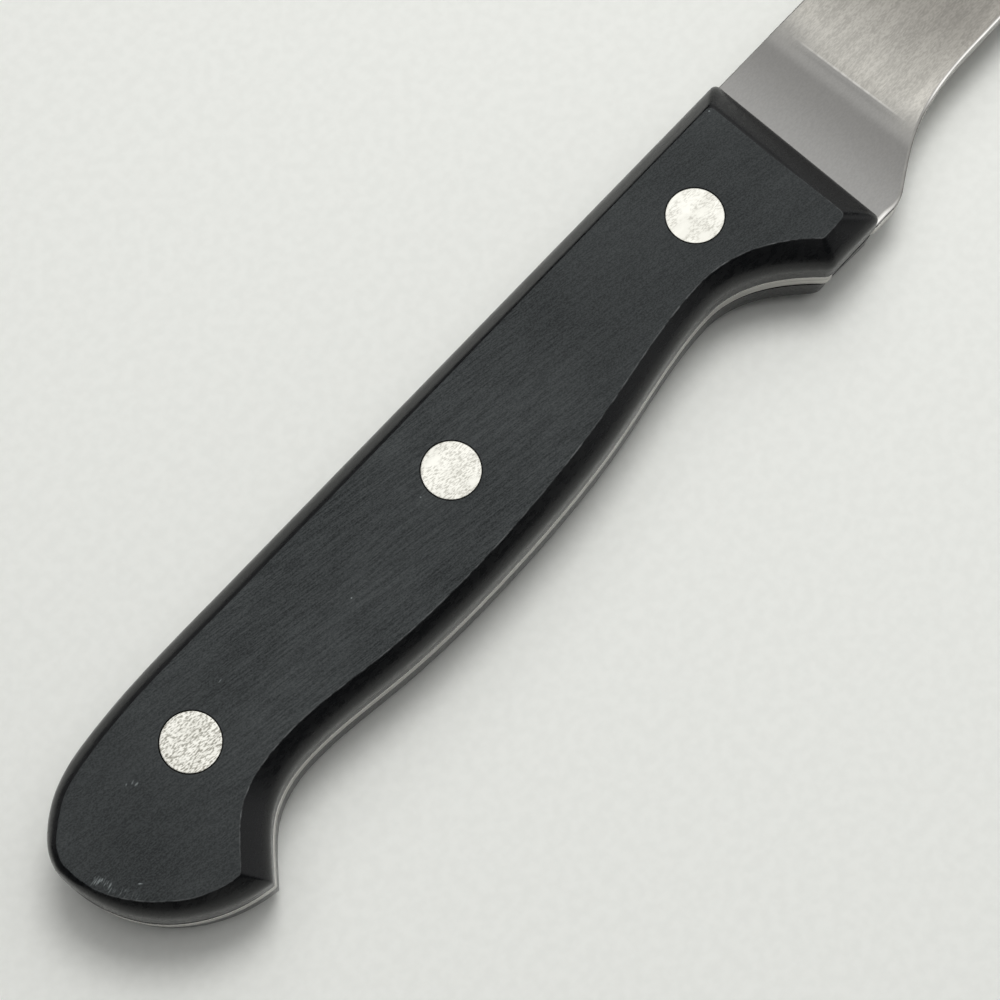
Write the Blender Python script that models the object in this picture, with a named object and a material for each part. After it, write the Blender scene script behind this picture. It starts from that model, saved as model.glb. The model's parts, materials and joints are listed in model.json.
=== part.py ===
"""Two-tined meat fork: a full-tang steel blade between two riveted handle scales.

Frame: +X runs along the handle towards the tines, +Y towards the straight spine, +Z up.
The fork lies on the flat face of its lower scale. The origin is on that face, on the line of
the rivets, halfway between the middle and the front rivet. All lengths are in metres.
"""
import math
from typing import NamedTuple

import bmesh
import bpy
from mathutils import Vector

# Handle, along X
RIVET_PITCH = 0.0425            # from one rivet to the next
FRONT_MARGIN = 0.016            # front rivet to the front end of the scales
HORN_LENGTH = 0.0089            # front end of the scales back to the horn's rear corner
FRONT_WAIST_SETBACK = 0.0062    # front rivet back to the front waist
BELLY_SETBACK = 0.005           # middle rivet back to the lowest point of the belly
REAR_WAIST_LEAD = 0.008         # rear rivet forward to the rear waist
HOOK_FLANK_SETBACK = 0.0005     # rear rivet back to the middle of the hook's inner side
HOOK_SETBACK = 0.0049           # rear rivet back to the tip of the hook
BUTT_MARGIN = 0.0204            # rear rivet back to the butt
LOWER_BUTT_LEAD = 0.0051        # butt forward to the fullest point of its lower round
UPPER_BUTT_LEAD = 0.0043        # butt forward to the fullest point of its upper round
SPINE_FALL_LEAD = 0.0119        # butt forward to where the spine clearly falls
SPINE_STRAIGHT_LEAD = 0.0369    # butt forward to where the spine is straight

# Handle, across: heights above and drops below the line of the rivets
SPINE_RISE = 0.0103
SPINE_FALL = 0.00085            # how far the spine has come down at the fall
UPPER_BUTT_RISE = 0.00675
BUTT_RISE = 0.0003              # height of the rearmost point
LOWER_BUTT_DROP = 0.01205
HOOK_DROP = 0.01697
HOOK_FLANK_DROP = 0.0125
REAR_WAIST_DROP = 0.00983
BELLY_DROP = 0.01212
FRONT_WAIST_DROP = 0.0083
HORN_DROP = 0.01595
REAR_SWELL = 0.68               # share of the way from waist to belly, halfway between them
FRONT_SWELL = 0.72

# Headings of the outline, in degrees, travelling with the handle on the left
SPINE_FALL_HEADING = 187.0
UPPER_BUTT_HEADING = 214.0
LOWER_BUTT_HEADING = 316.5
HOOK_HEADING_IN = 352.0
HOOK_HEADING_OUT = 47.0
HOOK_FLANK_HEADING = 40.0
REAR_SWELL_HEADING = -6.3
FRONT_SWELL_HEADING = 7.0
HORN_HEADING = -48.0
HEEL_HEADING = 30.0
NECK_SWEEP_HEADING = 26.5

# Rounded corners of the outline
END_RADIUS = 0.0015             # front end of the scales
HOOK_RADIUS = 0.0004
HORN_RADIUS = 0.004
HEEL_RADIUS = 0.006

# How far the edge of the sanded flat face lies inside the outline
FRONT_RUN = 0.0039
SPINE_RUN = 0.0022
SPINE_FALL_RUN = 0.0019
UPPER_BUTT_RUN = 0.0015
BUTT_RUN = 0.001
LOWER_BUTT_RUN = 0.00185
HOOK_RUN_IN = 0.0024
HOOK_RUN_OUT = 0.0031
HOOK_FLANK_RUN = 0.0031
REAR_WAIST_RUN = 0.0025
REAR_SWELL_RUN = 0.0022
BELLY_RUN = 0.0022
FRONT_SWELL_RUN = 0.0024
FRONT_WAIST_RUN = 0.00225
HORN_FLANK_RUN = 0.0026
HORN_RUN = 0.00285
RIDGE_RADIUS = 0.0005           # corners of the flat face

# Thicknesses
TANG_THICKNESS = 0.002
SCALE_THICKNESS = 0.00585
FLANK_WALL = 0.002              # upright part of a scale's side, next to the tang
FLANK_START_ANGLE = 32.0        # slope of the rounded side where it leaves the flat face
FIT_GAP = 0.00015               # clearance between pieces that seat on each other

# Rivets: a hollow half from above and a solid half from below
HEAD_DIAMETER = 0.007
HEAD_THICKNESS = 0.0018
BARREL_DIAMETER = 0.0048
PIN_DIAMETER = 0.003
PIN_TIP_CHAMFER = 0.0004
BORE_END_ROOM = 0.0006          # free length past the end of the pin

# Blade beyond the handle
BLADE_REACH = 0.159             # front end of the scales to the tips of the tines
HEEL_LENGTH = 0.0044            # front end of the scales to the corner of the heel
NECK_SWEEP_LEAD = 0.0066        # corner of the heel to the middle of the sweep
NECK_SWEEP_DROP = 0.01225
NECK_LEAD = 0.0216              # corner of the heel to where the neck runs straight
NECK_DROP = 0.0094
TINE_LENGTH = 0.0895            # tips back to the floor of the gap between the tines
SHOULDER_SETBACK = 0.010        # floor of the gap back to where the outer edges turn in
GAP_WIDTH = 0.008               # between the tines at the floor of the gap
TIP_SPREAD = 0.0113             # between the points of the two tips
POINT_LENGTH = 0.014            # tips back to where the points begin
POINT_SPREAD = 0.0152           # outer width over the tines where the points begin
TIP_RADIUS = 0.0005

# Grind and bend of the blade
PLUNGE_LEAD = 0.0118            # front end of the scales to the start of the grind
PLUNGE_LENGTH = 0.002           # length over which the grind comes in
GRIND_DEPTH = 0.0002            # taken off each face at the plunge
TIP_THICKNESS = 0.0011
TIP_RISE = 0.009                # height of the tips over the plane of the tang
BEND_SETBACK = 0.020            # floor of the gap back to where the bend begins

# Fineness of the curves
SPAN_STEPS = 7
CORNER_STEPS = 4
FLANK_STEPS = 5
PLUNGE_STEPS = 4
BEND_STEPS = 18
ROUND_STEPS = 32

SHARP_ANGLE = 30.0              # edges sharper than this stay crisp, in degrees
STRAIGHT_TOLERANCE = 1e-7

# Finishes: linear colours, roughness and metallic values
BLADE_COLOUR = (0.56, 0.55, 0.53)
SCALE_COLOUR = (0.030, 0.034, 0.036)
RIVET_COLOUR = (0.86, 0.85, 0.82)
BLADE_ROUGHNESS = 0.38
SCALE_ROUGHNESS = 0.62
RIVET_ROUGHNESS = 0.42
METAL = 1.0
PLASTIC = 0.0

# Levels and places that follow from the sizes above
TANG_BOTTOM = SCALE_THICKNESS + FIT_GAP
TANG_TOP = TANG_BOTTOM + TANG_THICKNESS
HANDLE_HEIGHT = TANG_TOP + FIT_GAP + SCALE_THICKNESS
TANG_MIDDLE = TANG_BOTTOM + TANG_THICKNESS / 2
RIVET_PLACES = {"rear": -RIVET_PITCH, "middle": 0.0, "front": RIVET_PITCH}
FRONT_END = RIVET_PLACES["front"] + FRONT_MARGIN
BUTT_END = RIVET_PLACES["rear"] - BUTT_MARGIN
TIP_END = FRONT_END + BLADE_REACH
GAP_FLOOR = TIP_END - TINE_LENGTH
PLUNGE_START = FRONT_END + PLUNGE_LEAD
BEND_START = GAP_FLOOR - BEND_SETBACK
FORK_MIDDLE = (SPINE_RISE - NECK_DROP) / 2


class Knot(NamedTuple):
    """A point that an outline passes, with its headings in degrees.

    The runs tell how far inside the outline the edge of the flat face lies, before and
    after the point. A corner, where the two headings differ, has a radius.
    """

    x: float
    y: float
    heading_in: float
    heading_out: float
    run_in: float = 0.0
    run_out: float = 0.0
    radius: float = 0.0


def smooth(x, y, heading, run=0.0):
    """A knot that the outline passes without a corner."""
    return Knot(x, y, heading, heading, run, run)


def towards(heading):
    """The unit vector of a heading."""
    angle = math.radians(heading)
    return Vector((math.cos(angle), math.sin(angle)))


def inwards(heading):
    """The unit vector to the left of a heading, which points into the handle."""
    return towards(heading + 90)


def slope_of(rise, length):
    """The angle, in degrees, of a line that rises over a length."""
    return math.degrees(math.atan2(rise, length))


def handle_knots():
    """The outline that the tang and the scales share, from the spine round to the horn."""
    front = RIVET_PLACES["front"]
    rear = RIVET_PLACES["rear"]
    belly_x = -BELLY_SETBACK
    front_waist_x = front - FRONT_WAIST_SETBACK
    rear_waist_x = rear + REAR_WAIST_LEAD
    rear_swell_drop = REAR_WAIST_DROP + REAR_SWELL * (BELLY_DROP - REAR_WAIST_DROP)
    front_swell_drop = FRONT_WAIST_DROP + FRONT_SWELL * (BELLY_DROP - FRONT_WAIST_DROP)
    return [
        smooth(BUTT_END + SPINE_STRAIGHT_LEAD, SPINE_RISE, 180, SPINE_RUN),
        smooth(BUTT_END + SPINE_FALL_LEAD, SPINE_RISE - SPINE_FALL, SPINE_FALL_HEADING, SPINE_FALL_RUN),
        smooth(BUTT_END + UPPER_BUTT_LEAD, UPPER_BUTT_RISE, UPPER_BUTT_HEADING, UPPER_BUTT_RUN),
        smooth(BUTT_END, BUTT_RISE, 270, BUTT_RUN),
        smooth(BUTT_END + LOWER_BUTT_LEAD, -LOWER_BUTT_DROP, LOWER_BUTT_HEADING, LOWER_BUTT_RUN),
        Knot(rear - HOOK_SETBACK, -HOOK_DROP, HOOK_HEADING_IN, HOOK_HEADING_OUT,
             HOOK_RUN_IN, HOOK_RUN_OUT, HOOK_RADIUS),
        smooth(rear - HOOK_FLANK_SETBACK, -HOOK_FLANK_DROP, HOOK_FLANK_HEADING, HOOK_FLANK_RUN),
        smooth(rear_waist_x, -REAR_WAIST_DROP, 0, REAR_WAIST_RUN),
        smooth((rear_waist_x + belly_x) / 2, -rear_swell_drop, REAR_SWELL_HEADING, REAR_SWELL_RUN),
        smooth(belly_x, -BELLY_DROP, 0, BELLY_RUN),
        smooth((belly_x + front_waist_x) / 2, -front_swell_drop, FRONT_SWELL_HEADING, FRONT_SWELL_RUN),
        smooth(front_waist_x, -FRONT_WAIST_DROP, 0, FRONT_WAIST_RUN),
        Knot(FRONT_END - HORN_LENGTH, -HORN_DROP, HORN_HEADING, 0, HORN_FLANK_RUN, HORN_RUN, HORN_RADIUS),
    ]


def scale_knots():
    """The closed outline of a scale."""
    spine_corner = Knot(FRONT_END, SPINE_RISE, 90, 180, FRONT_RUN, SPINE_RUN, END_RADIUS)
    horn_corner = Knot(FRONT_END, -HORN_DROP, 0, 90, HORN_RUN, FRONT_RUN, END_RADIUS)
    return [spine_corner] + handle_knots() + [horn_corner]


def blade_knots():
    """The closed outline of the blade: tang, heel, neck and the two tines."""
    heel_x = FRONT_END + HEEL_LENGTH
    shoulder_x = GAP_FLOOR - SHOULDER_SETBACK
    point_x = TIP_END - POINT_LENGTH
    tip_x = TIP_END - TIP_RADIUS
    gap_x = GAP_FLOOR + GAP_WIDTH / 2
    half_width = SPINE_RISE - FORK_MIDDLE
    tip_outer = TIP_SPREAD / 2 + TIP_RADIUS
    tip_inner = TIP_SPREAD / 2 - TIP_RADIUS
    outer_slope = slope_of(half_width - POINT_SPREAD / 2, point_x - shoulder_x)
    point_slope = slope_of(POINT_SPREAD / 2 - tip_outer, tip_x - point_x)
    inner_slope = slope_of(tip_inner - GAP_WIDTH / 2, tip_x - gap_x)
    point_heading = (outer_slope + point_slope) / 2
    lower_tine = [
        smooth(shoulder_x, FORK_MIDDLE - half_width, 0),
        smooth(point_x, FORK_MIDDLE - POINT_SPREAD / 2, point_heading),
        smooth(tip_x, FORK_MIDDLE - tip_outer, 2 * point_slope - point_heading),
        smooth(TIP_END, FORK_MIDDLE - TIP_SPREAD / 2, 90),
        smooth(tip_x, FORK_MIDDLE - tip_inner, 180 - inner_slope),
        smooth(gap_x, FORK_MIDDLE - GAP_WIDTH / 2, 180 - inner_slope),
    ]
    upper_tine = [
        smooth(knot.x, 2 * FORK_MIDDLE - knot.y, 180 - knot.heading_in) for knot in reversed(lower_tine)
    ]
    return handle_knots() + [
        Knot(heel_x, -HORN_DROP, 0, HEEL_HEADING, radius=HEEL_RADIUS),
        smooth(heel_x + NECK_SWEEP_LEAD, -NECK_SWEEP_DROP, NECK_SWEEP_HEADING),
        smooth(heel_x + NECK_LEAD, -NECK_DROP, 0),
    ] + lower_tine + [smooth(GAP_FLOOR, FORK_MIDDLE, 90)] + upper_tine


def turn_between(heading_in, heading_out):
    """The turn from one heading to another, from -180 to 180 degrees."""
    return (heading_out - heading_in + 180) % 360 - 180


def ridge_point(knot):
    """Where the edge of the flat face passes a knot of the outline."""
    outline_point = Vector((knot.x, knot.y))
    normal_in = inwards(knot.heading_in)
    if knot.heading_in == knot.heading_out:
        return outline_point + normal_in * knot.run_in
    along = towards(knot.heading_in)
    normal_out = inwards(knot.heading_out)
    advance = (knot.run_out - knot.run_in * normal_in.dot(normal_out)) / along.dot(normal_out)
    return outline_point + along * advance + normal_in * knot.run_in


def arc_points(start, heading_in, end, heading_out, steps):
    """Points of a cubic curve between two headings, without its end. A round turn comes out round."""
    turn = math.radians(abs(turn_between(heading_in, heading_out)))
    chord = (end - start).length
    reach = chord / 3
    if turn > 0:
        reach = chord * 2 / 3 * math.tan(turn / 4) / math.sin(turn / 2)
    first_handle = start + towards(heading_in) * reach
    second_handle = end - towards(heading_out) * reach
    points = []
    for step in range(steps):
        t = step / steps
        s = 1 - t
        ends = s**3 * start + t**3 * end
        handles = 3 * s * t * (s * first_handle + t * second_handle)
        points.append(ends + handles)
    return points


def is_straight(knot, following):
    """Whether the outline runs straight from one knot to the next."""
    chord = Vector((following.x - knot.x, following.y - knot.y))
    bend = abs(towards(knot.heading_out).cross(chord))
    return knot.heading_out == following.heading_in and bend < STRAIGHT_TOLERANCE


def trace(knots, ridge=False):
    """The points of a closed outline, or of the edge of the flat face inside it."""
    arrivals = []
    departures = []
    for knot in knots:
        point = ridge_point(knot) if ridge else Vector((knot.x, knot.y))
        radius = RIDGE_RADIUS if ridge else knot.radius
        half_turn = math.radians(abs(turn_between(knot.heading_in, knot.heading_out))) / 2
        trim = radius * math.tan(half_turn)
        arrivals.append(point - towards(knot.heading_in) * trim)
        departures.append(point + towards(knot.heading_out) * trim)
    points = []
    for index, knot in enumerate(knots):
        following = (index + 1) % len(knots)
        if knot.heading_in != knot.heading_out:
            points += arc_points(arrivals[index], knot.heading_in,
                                 departures[index], knot.heading_out, CORNER_STEPS)
        steps = 1 if is_straight(knot, knots[following]) else SPAN_STEPS
        points += arc_points(departures[index], knot.heading_out,
                             arrivals[following], knots[following].heading_in, steps)
    return points


def ring_faces(mesh_data, lower, upper):
    """Closes the band between two rings of the same number of points."""
    count = len(lower)
    for index in range(count):
        following = (index + 1) % count
        mesh_data.faces.new((lower[index], lower[following], upper[following], upper[index]))


def turned(mesh_data, profile, x=0.0):
    """Adds a solid turned about an upright axis at x, from (radius, height) pairs, axis to axis."""
    rings = []
    for radius, height in profile:
        if radius == 0:
            rings.append([mesh_data.verts.new((x, 0, height))])
            continue
        ring = []
        for step in range(ROUND_STEPS):
            spoke = radius * towards(360 * step / ROUND_STEPS)
            ring.append(mesh_data.verts.new((x + spoke.x, spoke.y, height)))
        rings.append(ring)
    for first, second in zip(rings, rings[1:]):
        if len(first) == 1:
            fan(mesh_data, first[0], second)
        elif len(second) == 1:
            fan(mesh_data, second[0], first)
        else:
            ring_faces(mesh_data, first, second)


def fan(mesh_data, centre, ring):
    """Closes a ring with triangles that meet at a centre point."""
    for index in range(len(ring)):
        mesh_data.faces.new((centre, ring[index], ring[(index + 1) % len(ring)]))


def finished_mesh(name, mesh_data, material=None):
    """Turns the faces outwards and makes the mesh, shaded smooth between its sharp edges."""
    bmesh.ops.recalc_face_normals(mesh_data, faces=mesh_data.faces)
    mesh = bpy.data.meshes.new(name)
    mesh_data.to_mesh(mesh)
    mesh_data.free()
    mesh.shade_smooth()
    mesh.set_sharp_from_angle(angle=math.radians(SHARP_ANGLE))
    if material:
        mesh.materials.append(material)
    return mesh


def placed(name, mesh, parent, location=(0, 0, 0)):
    """Puts a mesh into the scene as a named object under its parent."""
    item = bpy.data.objects.new(name, mesh)
    item.parent = parent
    item.location = location
    bpy.context.scene.collection.objects.link(item)
    return item


def metal_or_plastic(name, colour, roughness, metallic):
    """A Principled material of one colour."""
    material = bpy.data.materials.new(name)
    material.use_nodes = True
    shader = material.node_tree.nodes["Principled BSDF"]
    shader.inputs["Base Color"].default_value = (*colour, 1.0)
    shader.inputs["Roughness"].default_value = roughness
    shader.inputs["Metallic"].default_value = metallic
    return material


def cut_rivet_holes(item, profile, parent):
    """Cuts the three rivet holes, turned from a profile, through a piece."""
    mesh_data = bmesh.new()
    for x in RIVET_PLACES.values():
        turned(mesh_data, profile, x)
    name = f"{item.name}_rivet_holes"
    cutter = placed(name, finished_mesh(name, mesh_data), parent)
    cutter.hide_render = True
    cutter.display_type = "WIRE"
    boolean = item.modifiers.new("rivet holes", "BOOLEAN")
    boolean.object = cutter
    boolean.operation = "DIFFERENCE"
    boolean.solver = "EXACT"


def blade_thickness(x):
    """Thickness of the blade at x: full at the tang, ground in at the plunge, fine at the tips."""
    ground = TANG_THICKNESS - 2 * GRIND_DEPTH
    plunge_end = PLUNGE_START + PLUNGE_LENGTH
    if x <= plunge_end:
        share = min(max((x - PLUNGE_START) / PLUNGE_LENGTH, 0.0), 1.0)
        eased = share * share * (3 - 2 * share)
        return TANG_THICKNESS - 2 * GRIND_DEPTH * eased
    return ground + (TIP_THICKNESS - ground) * (x - plunge_end) / (TIP_END - plunge_end)


def blade_middle(x):
    """Height of the blade's middle plane at x, which curves up along the tines."""
    share = max(x - BEND_START, 0.0) / (TIP_END - BEND_START)
    return TANG_MIDDLE + TIP_RISE * share * share


def build_blade(parent):
    """The stamped blade: a plate of the blade's outline, then ground and bent.

    The plate's faces start at heights -1 and 1, and take their real heights at the end.
    """
    mesh_data = bmesh.new()
    outline = trace(blade_knots())
    lower = [mesh_data.verts.new((point.x, point.y, -1.0)) for point in outline]
    upper = [mesh_data.verts.new((point.x, point.y, 1.0)) for point in outline]
    ring_faces(mesh_data, lower, upper)
    mesh_data.faces.new(lower)
    mesh_data.faces.new(upper)
    cuts = [PLUNGE_START + PLUNGE_LENGTH * step / PLUNGE_STEPS for step in range(PLUNGE_STEPS + 1)]
    cuts += [BEND_START + (TIP_END - BEND_START) * step / BEND_STEPS for step in range(BEND_STEPS)]
    for x in cuts:
        geometry = mesh_data.verts[:] + mesh_data.edges[:] + mesh_data.faces[:]
        bmesh.ops.bisect_plane(mesh_data, geom=geometry, dist=STRAIGHT_TOLERANCE,
                               plane_co=(x, 0, 0), plane_no=(1, 0, 0))
    bmesh.ops.triangulate(mesh_data, faces=mesh_data.faces)
    for vertex in mesh_data.verts:
        x = vertex.co.x
        vertex.co.z = blade_middle(x) + vertex.co.z * blade_thickness(x) / 2
    steel = metal_or_plastic("blade_steel", BLADE_COLOUR, BLADE_ROUGHNESS, METAL)
    blade = placed("fork_blade", finished_mesh("fork_blade", mesh_data, steel), parent)
    hole_radius = BARREL_DIAMETER / 2 + FIT_GAP
    cut_rivet_holes(blade, [
        (0, TANG_BOTTOM - TANG_THICKNESS),
        (hole_radius, TANG_BOTTOM - TANG_THICKNESS),
        (hole_radius, TANG_TOP + TANG_THICKNESS),
        (0, TANG_TOP + TANG_THICKNESS),
    ], parent)


def build_scale(name, side, material, parent):
    """A handle scale: flat outer face, rounded sides, and stepped holes for the rivets.

    side is 1 for the scale above the tang and -1 for the one below it.
    """
    mesh_data = bmesh.new()
    outline = trace(scale_knots())
    ridge = trace(scale_knots(), ridge=True)
    start_sine = math.sin(math.radians(FLANK_START_ANGLE))
    start_cosine = math.cos(math.radians(FLANK_START_ANGLE))
    rings = [[mesh_data.verts.new((point.x, point.y, 0)) for point in outline]]
    for step in range(FLANK_STEPS, -1, -1):
        angle = math.radians(FLANK_START_ANGLE + (90 - FLANK_START_ANGLE) * step / FLANK_STEPS)
        outwards = (math.sin(angle) - start_sine) / (1 - start_sine)
        height = FLANK_WALL + (SCALE_THICKNESS - FLANK_WALL) * math.cos(angle) / start_cosine
        ring = []
        for edge, rim in zip(ridge, outline):
            point = edge + (rim - edge) * outwards
            ring.append(mesh_data.verts.new((point.x, point.y, side * height)))
        rings.append(ring)
    for lower, upper in zip(rings, rings[1:]):
        ring_faces(mesh_data, lower, upper)
    mesh_data.faces.new(rings[0])
    mesh_data.faces.new(rings[-1])
    seat = TANG_TOP + FIT_GAP if side > 0 else TANG_BOTTOM - FIT_GAP
    scale = placed(name, finished_mesh(name, mesh_data, material), parent, (0, 0, seat))
    shank_radius = BARREL_DIAMETER / 2 + FIT_GAP
    head_radius = HEAD_DIAMETER / 2 + FIT_GAP
    outer_face = seat + side * SCALE_THICKNESS
    recess_floor = outer_face - side * (HEAD_THICKNESS + FIT_GAP)
    cut_rivet_holes(scale, [
        (0, seat - side * HEAD_THICKNESS),
        (shank_radius, seat - side * HEAD_THICKNESS),
        (shank_radius, recess_floor),
        (head_radius, recess_floor),
        (head_radius, outer_face + side * HEAD_THICKNESS),
        (0, outer_face + side * HEAD_THICKNESS),
    ], parent)


def barrel_mesh(material):
    """The hollow half of a rivet: its head is flush with the upper face."""
    mesh_data = bmesh.new()
    bore_radius = PIN_DIAMETER / 2 + FIT_GAP
    head_underside = HANDLE_HEIGHT - HEAD_THICKNESS
    mouth = HEAD_THICKNESS + FIT_GAP
    turned(mesh_data, [
        (0, head_underside),
        (bore_radius, head_underside),
        (bore_radius, mouth),
        (BARREL_DIAMETER / 2, mouth),
        (BARREL_DIAMETER / 2, head_underside),
        (HEAD_DIAMETER / 2, head_underside),
        (HEAD_DIAMETER / 2, HANDLE_HEIGHT),
        (0, HANDLE_HEIGHT),
    ])
    return finished_mesh("rivet_barrel", mesh_data, material)


def pin_mesh(material):
    """The solid half of a rivet: its head is flush with the lower face, its pin fills the barrel."""
    mesh_data = bmesh.new()
    tip = HANDLE_HEIGHT - HEAD_THICKNESS - BORE_END_ROOM
    turned(mesh_data, [
        (0, 0),
        (HEAD_DIAMETER / 2, 0),
        (HEAD_DIAMETER / 2, HEAD_THICKNESS),
        (PIN_DIAMETER / 2, HEAD_THICKNESS),
        (PIN_DIAMETER / 2, tip - PIN_TIP_CHAMFER),
        (PIN_DIAMETER / 2 - PIN_TIP_CHAMFER, tip),
        (0, tip),
    ])
    return finished_mesh("rivet_pin", mesh_data, material)


def main():
    """Clears the scene and builds the fork piece by piece."""
    for item in list(bpy.data.objects):
        bpy.data.objects.remove(item, do_unlink=True)
    fork = bpy.data.objects.new("meat_fork", None)
    fork.location = (-RIVET_PITCH / 2, 0, 0)
    bpy.context.scene.collection.objects.link(fork)
    build_blade(fork)
    scale_black = metal_or_plastic("scale_black", SCALE_COLOUR, SCALE_ROUGHNESS, PLASTIC)
    build_scale("upper_scale", 1, scale_black, fork)
    build_scale("lower_scale", -1, scale_black, fork)
    barrel = barrel_mesh(metal_or_plastic("rivet_barrel_metal", RIVET_COLOUR, RIVET_ROUGHNESS, METAL))
    pin = pin_mesh(metal_or_plastic("rivet_pin_metal", RIVET_COLOUR, RIVET_ROUGHNESS, METAL))
    for place, x in RIVET_PLACES.items():
        placed(f"{place}_rivet_barrel", barrel, fork, (x, 0, 0))
        placed(f"{place}_rivet_pin", pin, fork, (x, 0, 0))


main()
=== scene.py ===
"""Dressed meat fork: fine meshes, finishes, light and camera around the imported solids.

Lengths are in metres and angles in degrees. Shapes are drawn in handle coordinates, which start on
the axis of the middle rivet: +X runs towards the tines, +Y towards the straight spine and +Z up from
the floor.
"""

import json
import logging
import math
import random
from collections.abc import Callable, Iterable, Sequence
from dataclasses import dataclass, field
from enum import Enum, IntEnum
from typing import NamedTuple

import bmesh
import bpy
import numpy as np
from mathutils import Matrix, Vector, noise
from mathutils.geometry import delaunay_2d_cdt

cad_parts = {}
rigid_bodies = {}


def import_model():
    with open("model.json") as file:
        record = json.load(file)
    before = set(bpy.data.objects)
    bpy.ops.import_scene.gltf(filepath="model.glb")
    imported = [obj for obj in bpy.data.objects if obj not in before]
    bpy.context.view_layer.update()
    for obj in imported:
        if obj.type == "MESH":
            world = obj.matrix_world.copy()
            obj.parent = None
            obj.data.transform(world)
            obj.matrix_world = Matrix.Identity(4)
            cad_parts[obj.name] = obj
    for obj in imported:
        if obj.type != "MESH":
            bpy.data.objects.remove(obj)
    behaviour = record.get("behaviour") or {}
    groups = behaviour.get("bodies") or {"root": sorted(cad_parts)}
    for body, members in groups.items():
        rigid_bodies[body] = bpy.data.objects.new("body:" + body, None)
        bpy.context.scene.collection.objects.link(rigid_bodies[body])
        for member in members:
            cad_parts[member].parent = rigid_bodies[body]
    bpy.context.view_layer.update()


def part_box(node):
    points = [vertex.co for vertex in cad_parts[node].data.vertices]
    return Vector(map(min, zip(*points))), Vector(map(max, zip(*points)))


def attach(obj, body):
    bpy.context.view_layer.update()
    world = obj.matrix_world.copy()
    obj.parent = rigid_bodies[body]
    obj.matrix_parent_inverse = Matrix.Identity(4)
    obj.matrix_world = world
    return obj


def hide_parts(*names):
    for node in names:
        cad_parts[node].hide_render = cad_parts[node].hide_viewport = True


LOG = logging.getLogger("meat_fork")
BODY = "root"

TO_TINES = 0.0
TO_SPINE = 90.0
TO_BUTT = 180.0
TO_BELLY = 270.0

Pair = tuple[float, float]
Triple = tuple[float, float, float]
Place = Triple
Colour = Triple
Socket = bpy.types.NodeSocket
Value = Socket | float | Colour
Material = bpy.types.Material
Piece = bpy.types.Object
Ring = list[bmesh.types.BMVert]

ORIGIN: Place = (0.0, 0.0, 0.0)
WHITE: Colour = (1.0, 1.0, 1.0)


class Side(Enum):
    """The face of the tang that a scale lies on."""

    UPPER = 1
    LOWER = -1


class RivetPlace(Enum):
    """The three rivets, with how strongly the sanding shows on each head."""

    FRONT = 0.38
    MIDDLE = 0.50
    REAR = 0.85


class ScaleSlot(IntEnum):
    """The finishes of a scale, in the order of its material slots."""

    FACE = 0
    FLANK = 1


class BladeSlot(IntEnum):
    """The finishes of the blade, in the order of its material slots."""

    FACE = 0
    EDGE = 1
    TANG = 2


def ease(value: float, start: float, end: float) -> float:
    """Eases a value from 0 at start to 1 at end.

    Args:
        value: The value to ease.
        start: Where the result leaves 0.
        end: Where the result reaches 1.

    Returns:
        A number from 0 to 1.
    """
    share = min(max((value - start) / (end - start), 0.0), 1.0)
    return share * share * (3 - 2 * share)


def ease_near(value: float, origin: float, span: Pair) -> float:
    """Eases a value from 0 to 1 over a span that is counted from an origin."""
    return ease(value, origin + span[0], origin + span[1])


def towards(heading: float) -> Vector:
    """The unit vector of a heading."""
    return Vector((math.cos(math.radians(heading)), math.sin(math.radians(heading))))


def left_of(heading: float) -> Vector:
    """The unit vector to the left of a heading."""
    return towards(heading + 90)


def turn_between(heading_in: float, heading_out: float) -> float:
    """The turn from one heading to another, from -180 to 180 degrees."""
    return (heading_out - heading_in + 180) % 360 - 180


def quarter_turn(step: int, steps: int) -> float:
    """The angle in radians after a step of a quarter turn."""
    return math.radians(90 * step / steps)


def cubic(start: Vector, first: Vector, second: Vector, end: Vector, t: float) -> Vector:
    """The point of a cubic curve between two ends and two handles."""
    s = 1 - t
    return s**3 * start + 3 * s * t * (s * first + t * second) + t**3 * end


@dataclass(frozen=True)
class Knot:
    """A point that an outline passes, travelling with the steel or the scale on its left.

    The runs tell how far inside the outline the edge of a scale's flat face lies, before and after
    the point. A corner, where the two headings differ, has a radius.
    """

    x: float
    y: float
    heading_in: float
    heading_out: float
    run_in: float = 0.0
    run_out: float = 0.0
    radius: float = 0.0

    @property
    def point(self) -> Vector:
        """The place of the knot."""
        return Vector((self.x, self.y))

    @property
    def is_corner(self) -> bool:
        """Whether the outline turns sharply here."""
        return self.heading_in != self.heading_out

    def trim(self, radius: float) -> float:
        """How far a rounding of some radius reaches to either side of the corner."""
        return radius * math.tan(math.radians(abs(turn_between(self.heading_in, self.heading_out))) / 2)

    def ridge_point(self) -> Vector:
        """Finds where the edge of the flat face passes this knot.

        Returns:
            The place that lies each run inside its heading.
        """
        normal_in = left_of(self.heading_in)
        if not self.is_corner:
            return self.point + normal_in * self.run_in
        along = towards(self.heading_in)
        normal_out = left_of(self.heading_out)
        advance = (self.run_out - self.run_in * normal_in.dot(normal_out)) / along.dot(normal_out)
        return self.point + along * advance + normal_in * self.run_in


def smooth(x: float, y: float, heading: float, run: float = 0.0) -> Knot:
    """A knot that the outline passes without a corner."""
    return Knot(x, y, heading, heading, run, run)


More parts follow.
